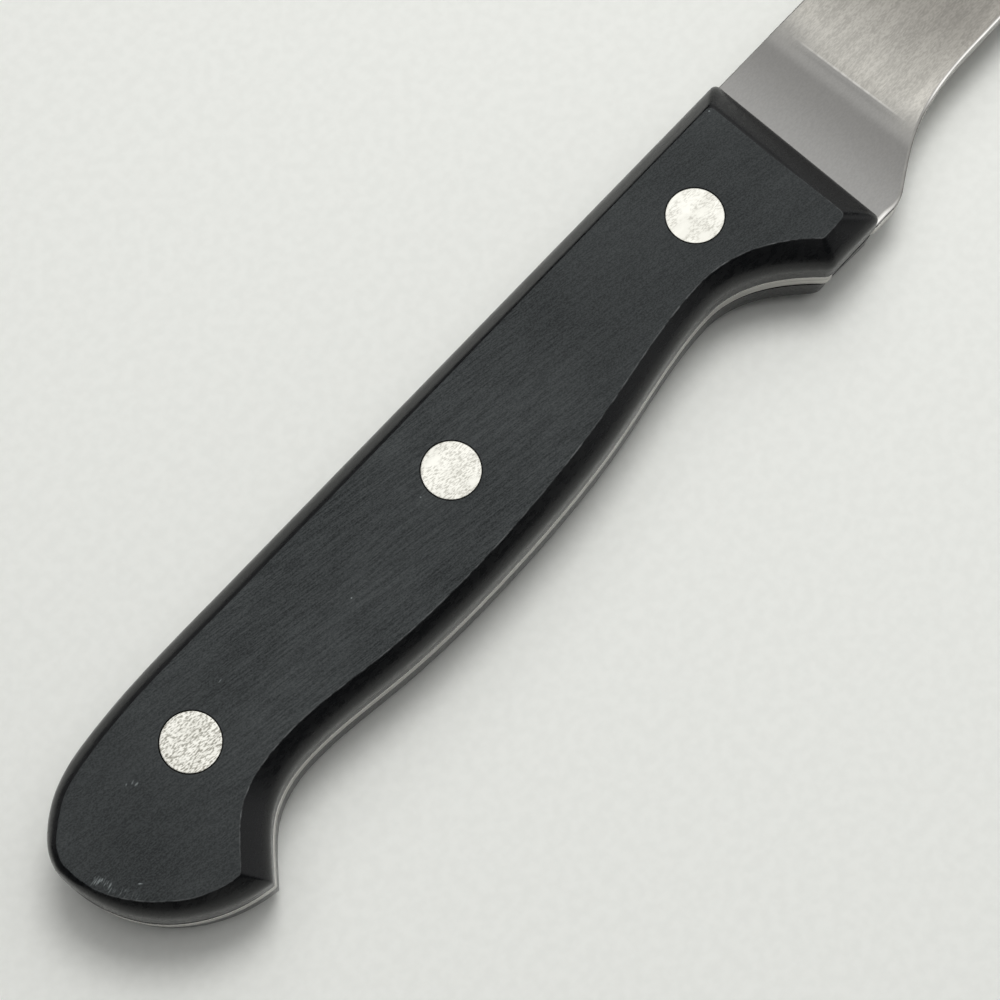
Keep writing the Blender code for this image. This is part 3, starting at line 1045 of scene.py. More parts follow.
@dataclass(frozen=True)
class BladeFace:
    """The faces of the blade: satin at the heel, brushed along its length past the lip of the plunge.

    Spans along the blade are counted from the front end of the handle or from the lip.
    """

    front: float
    lip: float
    slant: float
    # Painted shade: the tang's faces inside the handle are near black, so the gap at its edge reads dark.
    tang: Colour = (0.012, 0.012, 0.012)
    tang_shade_span: Pair = (-0.0004, -0.0014)
    # A painted highlight line on the heel at the front end of the handle.
    front_highlight_middle: float = 0.0001
    front_highlight_reach: float = 0.00018
    # Painted reflection: the heel is lighter near the handle and shaded towards the plunge.
    heel_lit: Colour = (0.330, 0.326, 0.315)
    heel_shaded: Colour = (0.232, 0.228, 0.218)
    heel_shade_end: float = -0.003
    heel_roughness: float = 0.42
    heel_grain: Grain = Grain((2600, 5200, 5200))
    heel_range: Pair = (0.96, 1.04)
    # A painted highlight that brightens the heel just before the plunge.
    plunge_highlight_span: Pair = (-0.0031, -0.0016)
    plunge_highlight: float = 1.25
    lip_middle: float = -0.0008
    lip_reach: float = 0.0100
    lip_span: Pair = (-0.0001, 0.0002)
    lip_end_span: Pair = (-0.0030, 0.0045)
    lip_shadow: float = 0.86
    lip_shadow_end: float = 0.0022
    # A painted highlight along the lip of the plunge.
    lip_highlight: Colour = (0.54, 0.53, 0.50)
    lip_highlight_middle: float = 0.0001
    lip_highlight_reach: float = 0.0002
    lip_highlight_range: Pair = (0.45, 1.0)
    # Painted reflection: the neck is lit near the lip and shaded further out.
    neck_lit: Colour = (0.467, 0.452, 0.413)
    neck_shaded: Colour = (0.270, 0.258, 0.233)
    neck_shade_end: float = 0.016
    neck_roughness: float = 0.36
    # A painted highlight along the belly side of the neck.
    belly_highlight_span: Pair = (-0.0060, -0.0095)
    belly_highlight: float = 1.20
    brushing: Grain = Grain((2000, 7600, 7600))
    brushing_weight: float = 0.62
    brushing_height: float = 0.000004
    cloud: Grain = Grain((170, 1100, 1100), start=(0.0, 0.002, 0.0))
    cloud_weight: float = 0.38
    brushed_range: Pair = (0.84, 1.16)

    def material(self) -> Material:
        """Makes the material.

        Returns:
            The finish of both faces.
        """
        recipe = Recipe("blade_face")
        across = recipe.axis("Y")
        along = recipe.plus(recipe.axis("X"), recipe.times(across, self.slant))
        inside = recipe.pulse(across, self.lip_middle, self.lip_reach)
        brushing = recipe.grain(self.brushing)
        cloud = recipe.grain(self.cloud)
        brushed = self.brushed(recipe, along, across, brushing, cloud)
        satin = self.satin(recipe, along)
        crisp = recipe.times(self.past_lip(recipe, along, self.lip_span), inside)
        outside = recipe.math("SUBTRACT", 1.0, inside)
        soft = recipe.times(self.past_lip(recipe, along, self.lip_end_span), outside)
        ground = recipe.plus(crisp, soft)
        # The lip's painted highlight, broken up by the cloud.
        highlight = recipe.pulse(along, self.lip + self.lip_highlight_middle, self.lip_highlight_reach)
        highlight = recipe.times(recipe.times(highlight, inside), recipe.between(cloud, self.lip_highlight_range))
        return recipe.finish(
            Base_Color=recipe.blend(highlight, recipe.blend(ground, satin, brushed), self.lip_highlight),
            Metallic=1.0,
            Roughness=recipe.between(ground, (self.heel_roughness, self.neck_roughness)),
            Normal=recipe.bump(brushing, self.brushing_height),
        )

    def past_lip(self, recipe: Recipe, along: Socket, span: Pair, ends: Pair = (0.0, 1.0)) -> Socket:
        """Eases from one value to another over a span about the lip."""
        return recipe.level(along, self.lip + span[0], self.lip + span[1], *ends)

    def brushed(self, recipe: Recipe, along: Socket, across: Socket,
                brushing: Socket, cloud: Socket) -> Socket:
        """Colours the neck and the tines.

        Args:
            recipe: The material to add to.
            along: The place along the blade, in step with the slant of the lip.
            across: The place across the blade.
            brushing: The brushing's lines.
            cloud: Its broader streaks.

        Returns:
            The colour, with painted light past the lip, a painted shadow just past it and a painted
            highlight near the belly.
        """
        lines = recipe.times(brushing, self.brushing_weight)
        tone = recipe.plus(lines, recipe.times(cloud, self.cloud_weight))
        # Painted reflection gradient: lit near the lip, shaded further out.
        fading = self.past_lip(recipe, along, (0.0, self.neck_shade_end))
        colour = recipe.blend(fading, self.neck_lit, self.neck_shaded)
        colour = recipe.shade(colour, recipe.between(tone, self.brushed_range))
        shadow = self.past_lip(recipe, along, (0.0, self.lip_shadow_end), (self.lip_shadow, 1.0))
        colour = recipe.shade(colour, shadow)
        # Painted highlight towards the belly.
        return recipe.shade(colour, recipe.level(across, *self.belly_highlight_span, 1.0, self.belly_highlight))

    def satin(self, recipe: Recipe, along: Socket) -> Socket:
        """Colours the heel with painted light and shade, and paints the hidden faces of the tang near black
        as shade.

        Args:
            recipe: The material to add to.
            along: The place along the blade, in step with the slant of the lip.

        Returns:
            The colour, with a painted highlight line where the heel meets the handle.
        """
        # Painted light and shade along the heel.
        heel = recipe.level(along, self.front, self.lip + self.heel_shade_end)
        colour = recipe.blend(heel, self.heel_lit, self.heel_shaded)
        # Painted highlight just before the plunge.
        lit = self.past_lip(recipe, along, self.plunge_highlight_span, (1.0, self.plunge_highlight))
        colour = recipe.shade(colour, lit)
        colour = recipe.shade(colour, recipe.grain(self.heel_grain, ends=self.heel_range))
        # Painted shade: the tang's hidden faces go near black.
        start, end = self.tang_shade_span
        colour = recipe.blend(recipe.level(along, self.front + start, self.front + end), colour, self.tang)
        # Painted highlight: a thin bright line at the front end of the handle.
        front_highlight = recipe.pulse(recipe.axis("X"), self.front + self.front_highlight_middle, self.front_highlight_reach)
        return recipe.blend(front_highlight, colour, self.neck_lit)


@dataclass(frozen=True)
class HighlightedEdge:
    """The eased edges of the blade: painted bright as a highlight in places beyond the handle, dull
    elsewhere.
    """

    # The edge's painted highlight colour, and the plain dull steel where there is none.
    bright: Colour = (0.84, 0.828, 0.795)
    dull: Colour = (0.29, 0.284, 0.267)
    roughness: Pair = (0.38, 0.20)
    grinding: Grain = Grain((400, 1200, 4000))
    grinding_range: Pair = (0.9, 1.05)

    def material(self) -> Material:
        """Makes the material.

        Returns:
            The finish of the eased edges.
        """
        recipe = Recipe("blade_eased_edge")
        # On the blade the mesh's wear float holds the painted highlight of the edge.
        highlight = recipe.attribute("wear")
        lines = recipe.grain(self.grinding, ends=self.grinding_range)
        return recipe.finish(
            Base_Color=recipe.shade(recipe.blend(highlight, self.dull, self.bright), lines),
            Metallic=1.0,
            Roughness=recipe.between(highlight, self.roughness),
        )


@dataclass(frozen=True)
class TangEdge:
    """The middle of the blade's edge, most of it the tang's, ground level with the scales."""

    dark: Colour = (0.33, 0.32, 0.30)
    light: Colour = (0.55, 0.535, 0.51)
    roughness: float = 0.34
    grinding: Grain = Grain((90, 90, 5200), detail=3.0)
    grinding_height: float = 0.000008

    def material(self) -> Material:
        """Makes the material.

        Returns:
            The finish of the ground edge.
        """
        recipe = Recipe("tang_ground_edge")
        lines = recipe.grain(self.grinding)
        return recipe.finish(
            Base_Color=recipe.blend(lines, self.dark, self.light),
            Metallic=1.0,
            Roughness=self.roughness,
            Normal=recipe.bump(lines, self.grinding_height),
        )


@dataclass(frozen=True)
class RivetMetal:
    """A rivet head sanded level with the scale: bright, with grey flecks along the sanding."""

    place: RivetPlace
    bright: Colour = (0.950, 0.940, 0.866)
    fleck: Colour = (0.42, 0.405, 0.345)
    roughness: Pair = (0.40, 0.58)
    sanding: float = -10.0
    sanding_height: float = 0.000006
    streak_waves: Triple = (2400, 8400, 8400)
    streak_levels: Pair = (0.44, 0.62)
    streak_detail: float = 3.0
    clump_waves: Triple = (420, 520, 520)
    clump_most: float = 0.56
    clump_fall: float = 0.5
    clump_rise: float = 0.16
    haze_waves: Triple = (330, 480, 480)
    haze_levels: Pair = (0.42, 0.64)
    haze: float = 0.13

    def material(self) -> Material:
        """Makes the material.

        Returns:
            The finish of one rivet, whose patterns start at a place of their own.
        """
        strength = self.place.value
        start = (strength, 0.0, 0.0)
        bare = self.clump_most - self.clump_fall * strength
        recipe = Recipe(f"{self.place.name.lower()}_rivet_sanded")
        streak = Grain(self.streak_waves, self.streak_levels, self.streak_detail, start)
        clump = Grain(self.clump_waves, (bare, bare + self.clump_rise), start=start)
        cloud = Grain(self.haze_waves, self.haze_levels, start=(0.0, strength, 0.0))
        streaks = recipe.noise(streak, self.sanding)
        clumps = recipe.grain(clump)
        haze = recipe.grain(cloud, self.sanding)
        flecks = recipe.times(recipe.level(streaks, *streak.levels), clumps)
        amount = recipe.plus(recipe.times(flecks, strength), recipe.times(haze, self.haze))
        return recipe.finish(
            Base_Color=recipe.blend(amount, self.bright, self.fleck),
            Metallic=1.0,
            Roughness=recipe.between(amount, self.roughness),
            Normal=recipe.bump(streaks, self.sanding_height * strength),
        )


@dataclass(frozen=True)
class PaleFloor:
    """The plain pale surface that the fork lies on."""

    light: Colour = (0.950, 0.960, 0.915)
    dark: Colour = (0.920, 0.930, 0.885)
    roughness: float = 0.6
    specular: float = 0.2
    mottle: Grain = Grain((700, 700, 700), detail=3.0)

    def material(self) -> Material:
        """Makes the material.

        Returns:
            The finish of the floor.
        """
        recipe = Recipe("pale_floor")
        return recipe.finish(
            Base_Color=recipe.blend(recipe.grain(self.mottle), self.dark, self.light),
            Roughness=self.roughness,
            Specular_IOR_Level=self.specular,
        )


class Stop(NamedTuple):
    """A point of a scale's side: how far outside the flat face's edge, how high and how worn it is."""

    away: float
    height: float
    wear: float


@dataclass
class Scale:
    """One scale of the handle, with a flat sanded face, rounded sides and three rivet holes.

    Spans along the handle are counted from the rear rivet, the front waist, the horn or the front end.
    """

    sizes: FrameSizes
    shape: HandleShape
    side: Side
    upper_wall: float = 0.002
    lower_wall: float = 0.003
    bevel_share: float = 0.62
    bevel_angle: float = 43.0
    bevel_run: float = 0.0022
    bevel_easing: float = 5300.0
    belly_seam: float = 0.00005
    butt_seam: float = 0.00014
    butt_span: Pair = (-0.012, 0.0)
    crisp_ridge: float = 0.00009
    soft_ridge: float = 0.00055
    crisp_facing: Pair = (0.0, 0.5)
    ridge_wander: float = 0.00006
    wander_waves: float = 700.0
    wander_least: float = 0.15
    wear_waves: float = 260.0
    wear_mean: float = 0.70
    wear_swing: float = 0.45
    worn_facing: Pair = (0.2, 0.8)
    upper_recess: Pair = (0.00004, 0.00010)
    lower_recess: Pair = (0.00002, 0.00018)
    recess_span: Pair = (-0.020, -0.004)
    horn_recess: float = 0.00026
    horn_shift: float = 0.00014
    horn_lean: float = 0.0005
    horn_depths: Pair = (0.006, 0.012)
    horn_span: Pair = (-0.0016, 0.0008)
    shift_end: float = -0.002
    front_span: Pair = (-0.006, -0.002)
    hole_radius: float = 0.0036
    hole_chamfer: float = 0.00004
    shank_radius: float = 0.00255
    head_room: float = 0.00195
    spacing: float = 0.0005
    grid: float = 0.0011
    grid_margin: float = 0.6
    seam_steps: int = 3
    flank_steps: int = 16
    ease_steps: int = 6
    round_steps: int = 96
    crease: float = 32.0
    piece: Piece | None = field(default=None, init=False)

    @property
    def node(self) -> str:
        """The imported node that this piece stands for."""
        return f"{self.side.name.lower()}_scale"

    @property
    def thickness(self) -> float:
        """The height of the flat face over the seat."""
        return abs(self.sizes.outer_face[self.side] - self.sizes.seat[self.side])

    def level(self, height: float) -> float:
        """The height in the frame of a height over the seat."""
        return self.sizes.seat[self.side] + self.side.value * height

    def nearness_to_butt(self, place: Vector) -> float:
        """1 round the butt, easing to 0 at the rear rivet."""
        return 1 - ease_near(place.x, self.sizes.rivet_x(RivetPlace.REAR), self.butt_span)

    def lowness(self, place: Vector) -> float:
        """0 about the rivet line, easing to 1 as far below it as the horn."""
        return ease(-place.y, *self.horn_depths)

    def under_horn(self, place: Vector) -> float:
        """1 under the horn, easing to 0 behind it and above it."""
        return self.lowness(place) * ease_near(place.x, self.shape.horn, self.horn_span)

    def setback(self, place: Vector, out: Vector) -> Vector:
        """How far the scale stands back from the tang's outline at a place, as fitted by hand.

        Args:
            place: The place on the outline or on the edge of the flat face.
            out: The way outwards there.

        Returns:
            The step from the shared outline to this scale's own.
        """
        belly, butt = self.upper_recess if self.side is Side.UPPER else self.lower_recess
        waist = self.shape.front_waist
        along_belly = max(0.0, -out.y) * (1 - ease_near(place.x, waist, self.recess_span))
        step = -out * max(belly * along_belly, butt * self.nearness_to_butt(place))
        if self.side is Side.LOWER:
            step.y += self.horn_recess * self.under_horn(place)
            near_horn = ease(place.x, waist, self.shape.horn + self.shift_end)
            near_front = ease_near(place.x, self.sizes.front_end, self.front_span)
            step.x -= self.horn_shift * self.lowness(place) * near_horn * (1 - near_front)
        return step

    def chance(self, place: Vector, waves: float) -> float:
        """Noise along the ridge, from about -1 to 1, with so many waves to the metre."""
        return noise.noise(Vector((place.x, place.y, self.side.value)) * waves)

    def ridge_wear(self, edge: Vector, out: Vector) -> float:
        """How worn the ridge is at a place: along the belly, fading in and out."""
        patch = self.chance(edge, self.wear_waves) * self.wear_swing + self.wear_mean
        return max(0.0, ease(-out.y, *self.worn_facing) * patch)

    def column(self, rim: Vector, edge: Vector) -> list[tuple[Vector, float]]:
        """The side of the scale at one place of its outline.

        Args:
            rim: The place on the outline.
            edge: The place on the edge of the flat face.

        Returns:
            Points from the seat up to the flat face, each with its wear.
        """
        out = (rim - edge).normalized()
        butt = self.nearness_to_butt(rim)
        stray = self.chance(edge, self.wander_waves)
        rim = rim + self.setback(rim, out)
        edge = edge + self.setback(edge, out) - out * self.ridge_wander * (self.wander_least + butt) * stray
        run = (rim - edge).length
        out = (rim - edge) / run
        stops = self.seam_stops(run, butt)
        if self.side is Side.LOWER:
            run -= self.horn_lean * self.under_horn(rim) * max(0.0, -out.y)
        stops += self.flank_stops(run, -out.y, self.ridge_wear(edge, out))
        return [((edge + out * stop.away).to_3d() + Vector((0, 0, self.level(stop.height))), stop.wear)
                for stop in stops]

    def seam_stops(self, run: float, butt: float) -> list[Stop]:
        """The rounding where the side meets the seat.

        Args:
            run: The width of the side.
            butt: How near the butt the place is, from 0 to 1.

        Returns:
            The stops from the seat up to the wall.
        """
        seam = self.belly_seam + (self.butt_seam - self.belly_seam) * butt
        stops = []
        for step in range(self.seam_steps + 1):
            angle = quarter_turn(step, self.seam_steps)
            stops.append(Stop(run - seam * (1 - math.sin(angle)), seam * (1 - math.cos(angle)), 0.0))
        return stops

    def flank_stops(self, run: float, facing: float, wear: float) -> list[Stop]:
        """The hollow side and the eased ridge above it.

        Args:
            run: The width of the side.
            facing: How far the side faces the belly, from -1 to 1.
            wear: How worn the ridge is.

        Returns:
            The stops from the wall up to the flat face.
        """
        fall = self.thickness - (self.upper_wall if self.side is Side.UPPER else self.lower_wall)
        slope = math.tan(math.radians(self.bevel_angle - self.bevel_easing * max(run - self.bevel_run, 0.0)))
        reach = self.soft_ridge + (self.crisp_ridge - self.soft_ridge) * ease(facing, *self.crisp_facing)
        handles = (Vector((0, 0)), Vector((self.bevel_share, self.bevel_share * slope)), Vector((1, slope)))
        curve = [handle * run for handle in handles] + [Vector((run, fall))]
        start = reach / (3 * self.bevel_share * run)
        stops = []
        for step in range(self.flank_steps, -1, -1):
            away, drop = cubic(*curve, start + (1 - start) * step / self.flank_steps)
            stops.append(Stop(away, self.thickness - drop, 0.0))
        corner = away - drop / slope
        for step in range(1, self.ease_steps + 1):
            share = step / self.ease_steps
            rest = 1 - share
            bent = rest * rest * away + 2 * rest * share * corner - share * share * reach
            amount = wear * min(1.0, 2 * (1 - abs(rest - share)))
            stops.append(Stop(bent, self.thickness - drop * rest * rest, amount))
        return stops

    def build(self) -> None:
        """Builds the mesh: seat, wall, rounded side, eased ridge, flat face and stepped holes."""
        sketch = MeshSketch(f"{self.node}_body")
        lines = Outline(self.shape.scale_knots(), self.spacing)
        columns = [self.column(rim, edge) for rim, edge in zip(lines.trace(), lines.trace(ridge=True))]
        rings = []
        for stops in zip(*columns):
            points, wear = zip(*stops)
            rings.append(sketch.ring(points, wear))
        worn_rings = self.ease_steps // 2
        sketch.bridge(rings[:1 - worn_rings], ScaleSlot.FLANK)
        sketch.bridge(rings[-worn_rings:], ScaleSlot.FACE)
        self.close(sketch, rings[0], rings[-1])
        self.piece = sketch.piece(self.sizes.middle_x, self.crease)

    def close(self, sketch: MeshSketch, seat_ring: Ring, face_ring: Ring) -> None:
        """Adds the rivet holes, the flat face and the seat.

        Args:
            sketch: The mesh to add to.
            seat_ring: The ring round the seat.
            face_ring: The ring round the flat face.
        """
        face_holes = []
        seat_holes = []
        circles = []
        for place in RivetPlace:
            x = self.sizes.rivet_x(place)
            circles.append((x, self.hole_radius))
            profile = [
                (self.hole_radius + self.hole_chamfer, self.thickness),
                (self.hole_radius, self.thickness - self.hole_chamfer),
                (self.hole_radius, self.thickness - self.head_room),
                (self.shank_radius, self.thickness - self.head_room),
                (self.shank_radius, 0.0),
            ]
            rings = [sketch.ring(circle(x, radius, self.level(height), self.round_steps))
                     for radius, height in profile]
            sketch.bridge(rings, ScaleSlot.FLANK)
            face_holes.append(rings[0])
            seat_holes.append(rings[-1])
        stations = evenly(self.sizes.butt_end, self.sizes.front_end, self.grid)
        for ring, holes, height, finish in (
            (face_ring, face_holes, self.thickness, ScaleSlot.FACE),
            (seat_ring, seat_holes, 0.0, ScaleSlot.FLANK),
        ):

            def height_of(x: float, y: float, level: float = self.level(height)) -> float:
                """Height of this flat side, the same all over."""
                return level

            inner = inside_points(ring, stations, self.grid, self.grid * self.grid_margin, circles)
            sketch.fill(ring, holes, inner, height_of, finish)

    def dress(self, face: Material, flank: Material) -> None:
        """Gives the piece its finishes and its place in the frame.

        Args:
            face: The finish of the flat face.
            flank: The finish of the sides, the seat and the holes.
        """
        for material in (face, flank):
            self.piece.data.materials.append(material)
        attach(self.piece, BODY)
        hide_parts(self.node)


@dataclass
class Blade:
    """The blade: tang, heel, neck and two tines in one plate of steel.

    Spans along the blade are counted from the front end of the handle, the heel, the plunge or the
    gap's floor. An ease is how far an edge's rounding reaches inside the outline and down its side.
    """

    sizes: FrameSizes
    shape: HandleShape
    thickness: float = 0.002
    crevice: float = 0.0022
    crevice_ramp: float = 0.0036
    heel_reach: float = 0.0044
    heel_heading: float = 30.0
    heel_radius: float = 0.006
    neck_sweep_lead: float = 0.0066
    neck_sweep_drop: float = 0.01225
    neck_sweep_heading: float = 26.5
    neck_lead: float = 0.0216
    neck_drop: float = 0.0094
    tine_length: float = 0.0895
    shoulder_setback: float = 0.010
    gap_width: float = 0.008
    tip_spread: float = 0.0113
    point_length: float = 0.014
    point_spread: float = 0.0152
    tip_radius: float = 0.0005
    tip_thickness: float = 0.0011
    tip_rise: float = 0.009
    bend_setback: float = 0.020
    plunge_lead: float = 0.0115
    plunge_length: float = 0.0009
    plunge_depth: float = 0.00010
    plunge_slant: float = 0.034
    plunge_belly: Pair = (-0.0115, -0.0075)
    plunge_spine: Pair = (0.0065, 0.0095)
    lip_lead: float = 0.00115
    lip_length: float = 0.0003
    lip_height: float = 0.00003
    hollow_length: float = 0.010
    tang_ease: Pair = (0.00006, 0.00006)
    spine_ease: Pair = (0.00014, 0.00008)
    belly_ease: Pair = (0.00038, 0.00009)
    heel_ease: Pair = (0.00085, 0.00030)
    tine_ease: Pair = (0.00045, 0.0004)
    bare_span: Pair = (-0.0012, -0.0002)
    heel_span: Pair = (-0.003, 0.001)
    tine_span: Pair = (-0.03, 0.0)
    eased_depths: Pair = (0.0, 0.004)
    highlight_depths: Pair = (0.004, 0.007)
    # Where the edge's painted highlight lies and how strong it is.
    heel_highlight_start: float = 0.001
    heel_highlight_end: float = 0.0015
    neck_highlight: Pair = (0.0105, 0.0145)
    tine_highlight: float = 0.6
    highlight_height: float = 0.7
    most_ease: float = 0.9
    hole_radius: float = 0.00255
    spacing: float = 0.0006
    grid: float = 0.0013
    grid_margin: float = 0.55
    plunge_grid: float = 0.0002
    plunge_grid_span: Pair = (-0.0015, 0.003)
    ease_steps: int = 6
    round_steps: int = 96
    crease: float = 32.0
    piece: Piece | None = field(default=None, init=False)

    @property
    def middle_line(self) -> float:
        """The line halfway between the two tines."""
        return (self.sizes.spine_rise - self.neck_drop) / 2

    @property
    def gap_floor(self) -> float:
        """The floor of the gap between the tines."""
        return self.sizes.tip_end - self.tine_length

    @property
    def plunge(self) -> float:
        """Where the grind starts, on the rivet line."""
        return self.sizes.front_end + self.plunge_lead

    @property
    def lip(self) -> float:
        """Where the grind ends in a low lip, on the rivet line."""
        return self.plunge + self.lip_lead

    @property
    def heel(self) -> float:
        """Where the underside of the heel ends."""
        return self.sizes.front_end + self.heel_reach

    def knots(self) -> list[Knot]:
        """The closed outline of the blade."""
        return self.shape.shared_knots() + self.heel_knots() + self.tine_knots()

    def heel_knots(self) -> list[Knot]:
        """Gives the knots from the corner under the horn to the neck.

        Returns:
            The knots in order; between the scales the edge stands back in a crevice.
        """
        corner = self.shape.horn_corner
        half_turn = corner.heading_in / 2
        arc_start = corner.point - towards(corner.heading_in) * corner.trim(corner.radius)
        arc_middle = corner.point + left_of(half_turn) * corner.radius * (1 / towards(half_turn).x - 1)
        drop = self.shape.horn_drop
        front_end = self.sizes.front_end
        return [
            smooth(arc_start.x, arc_start.y, corner.heading_in),
            smooth(arc_middle.x, arc_middle.y, half_turn),
            smooth(arc_middle.x + self.crevice_ramp, self.crevice - drop, TO_TINES),
            smooth(front_end - self.crevice, self.crevice - drop, TO_TINES),
            smooth(front_end, -drop, TO_TINES),
            Knot(self.heel, -drop, TO_TINES, self.heel_heading, radius=self.heel_radius),
            smooth(self.heel + self.neck_sweep_lead, -self.neck_sweep_drop, self.neck_sweep_heading),
            smooth(self.heel + self.neck_lead, -self.neck_drop, TO_TINES),
        ]

    def tine_knots(self) -> list[Knot]:
        """Gives the knots round the lower tine, through the gap and round the upper tine.

        Returns:
            The knots in order; the upper tine mirrors the lower one.
        """
        shoulder_x = self.gap_floor - self.shoulder_setback
        point_x = self.sizes.tip_end - self.point_length
        tip_x = self.sizes.tip_end - self.tip_radius
        gap_x = self.gap_floor + self.gap_width / 2
        middle = self.middle_line
        half_width = self.sizes.spine_rise - middle
        tip_outer = self.tip_spread / 2 + self.tip_radius
        tip_inner = self.tip_spread / 2 - self.tip_radius
        outer_slope = math.degrees(math.atan2(half_width - self.point_spread / 2, point_x - shoulder_x))
        point_slope = math.degrees(math.atan2(self.point_spread / 2 - tip_outer, tip_x - point_x))
        inner_slope = math.degrees(math.atan2(tip_inner - self.gap_width / 2, tip_x - gap_x))
        point_heading = (outer_slope + point_slope) / 2
        lower_tine = [
            smooth(shoulder_x, middle - half_width, TO_TINES),
            smooth(point_x, middle - self.point_spread / 2, point_heading),
            smooth(tip_x, middle - tip_outer, 2 * point_slope - point_heading),
            smooth(self.sizes.tip_end, middle - self.tip_spread / 2, TO_SPINE),
            smooth(tip_x, middle - tip_inner, TO_BUTT - inner_slope),
            smooth(gap_x, middle - self.gap_width / 2, TO_BUTT - inner_slope),
        ]
        upper_tine = [smooth(knot.x, 2 * middle - knot.y, TO_BUTT - knot.heading_in)
                      for knot in reversed(lower_tine)]
        return lower_tine + [smooth(self.gap_floor, middle, TO_SPINE)] + upper_tine

    def half_thickness(self, x: float, y: float) -> float:
        """Half the blade's thickness: full at the tang, dipped past the plunge, fine at the tips.

        Args:
            x: The place along the blade.
            y: The place across the blade.

        Returns:
            The height of a face over the middle plane.
        """
        taper = max(x - self.lip, 0.0) / (self.sizes.tip_end - self.lip)
        half = (self.thickness + (self.tip_thickness - self.thickness) * taper) / 2
        fade = ease(y, *self.plunge_belly) * (1 - ease(y, *self.plunge_spine))
        along = x + self.plunge_slant * y
        hollow = min(max(along - self.lip, 0.0) / self.hollow_length, 1.0)
        half -= self.plunge_depth * ease_near(along, self.plunge, (0.0, self.plunge_length)) * fade
        half += self.lip_height * ease_near(along, self.lip, (0.0, self.lip_length)) * fade
        return half + (self.plunge_depth - self.lip_height) * hollow * (2 - hollow) * fade

    def middle_height(self, x: float) -> float:
        """Height of the blade's middle plane, which curves up along the tines.

        Args:
            x: The place along the blade.

        Returns:
            The height in the frame.
        """
        bend_start = self.gap_floor - self.bend_setback
        share = max(x - bend_start, 0.0) / (self.sizes.tip_end - bend_start)
        return self.sizes.tang_middle + self.tip_rise * share * share

    def edge_ease(self, place: Vector) -> Vector:
        """The ease of the edge at a place of the outline.

        Args:
            place: The place.

        Returns:
            How far the rounding reaches inside the outline and down its side.
        """
        along_neck = ease_near(place.x, self.heel, self.heel_span)
        belly = Vector(self.heel_ease).lerp(Vector(self.belly_ease), along_neck)
        on_belly = ease(self.middle_line - place.y, *self.eased_depths)
        beyond = Vector(self.spine_ease).lerp(belly, on_belly)
        beyond = beyond.lerp(Vector(self.tine_ease), ease_near(place.x, self.gap_floor, self.tine_span))
        bare = ease_near(place.x, self.sizes.front_end, self.bare_span)
        return Vector(self.tang_ease).lerp(beyond, bare)

    def edge_highlight(self, place: Vector) -> float:
        """How strongly a highlight is painted on the edge: under the heel, along the neck's belly and on the
        tines.

        Args:
            place: The place on the outline.

        Returns:
            A number from 0 to 1.
        """
        under_heel = 1 - ease(place.x, self.sizes.front_end + self.heel_highlight_start,
                              self.heel + self.heel_highlight_end)
        neck = ease_near(place.x, self.heel, self.neck_highlight)
        belly = ease(self.middle_line - place.y, *self.highlight_depths)
        tines = ease_near(place.x, self.gap_floor, self.tine_span)
        return max(belly * max(under_heel, neck), self.tine_highlight * tines)

    def edge_point(self, rim: Vector, inwards: Vector, angle: float, side: Side) -> Vector:
        """A point of the eased edge.

        Args:
            rim: The place on the outline.
            inwards: The way inside from there.
            angle: How far round the easing the point lies, in radians.
            side: The face that the easing leads to.

        Returns:
            The point.
        """
        reach, depth = self.edge_ease(rim)
        half = self.half_thickness(rim.x, rim.y)
        lift = min(depth, half * self.most_ease)
        place = rim + inwards * reach * (1 - math.cos(angle))
        height = half - lift + lift * math.sin(angle)
        return Vector((place.x, place.y, self.middle_height(rim.x) + side.value * height))

    def build(self) -> None:
        """Builds the mesh: two faces, an eased edge all round and three rivet holes."""
        sketch = MeshSketch("fork_blade_body")
        outline = Outline(self.knots(), self.spacing).trace()
        before = outline[-1:] + outline[:-1]
        after = outline[1:] + outline[:1]
        inwards = [(second - first).normalized().orthogonal() for first, second in zip(before, after)]
        # The edge's painted highlight rides in the mesh's wear float.
        edge_highlight = [self.edge_highlight(place) for place in outline]
        halves: dict[Side, list[Ring]] = {side: [] for side in Side}
        for side, rings in halves.items():
            for step in range(self.ease_steps + 1):
                angle = quarter_turn(step, self.ease_steps)
                fading = 1 - ease(step / self.ease_steps, self.highlight_height, 1.0)
                points = [self.edge_point(rim, inside, angle, side) for rim, inside in zip(outline, inwards)]
                rings.append(sketch.ring(points, [amount * fading for amount in edge_highlight]))
            sketch.bridge(rings, BladeSlot.EDGE)
        sketch.bridge([halves[Side.LOWER][0], halves[Side.UPPER][0]], BladeSlot.TANG)
        self.close(sketch, {side: rings[-1] for side, rings in halves.items()})
        self.piece = sketch.piece(self.sizes.middle_x, self.crease)

    def close(self, sketch: MeshSketch, borders: dict[Side, Ring]) -> None:
        """Adds the rivet holes and the two faces.

        Args:
            sketch: The mesh to add to.
            borders: The ring round each face.
        """
        circles = [(self.sizes.rivet_x(place), self.hole_radius) for place in RivetPlace]
        holes: dict[Side, list[Ring]] = {side: [] for side in Side}
        for x, radius in circles:
            for side in Side:
                height = self.sizes.tang_middle + side.value * self.thickness / 2
                holes[side].append(sketch.ring(circle(x, radius, height, self.round_steps)))
            sketch.bridge([holes[side][-1] for side in Side], BladeSlot.FACE)
        fine_start, fine_end = (self.plunge + lead for lead in self.plunge_grid_span)
        stations = evenly(self.sizes.butt_end, fine_start, self.grid)
        stations += evenly(fine_start, fine_end, self.plunge_grid)
        stations += evenly(fine_end, self.sizes.tip_end, self.grid)
        for side in Side:

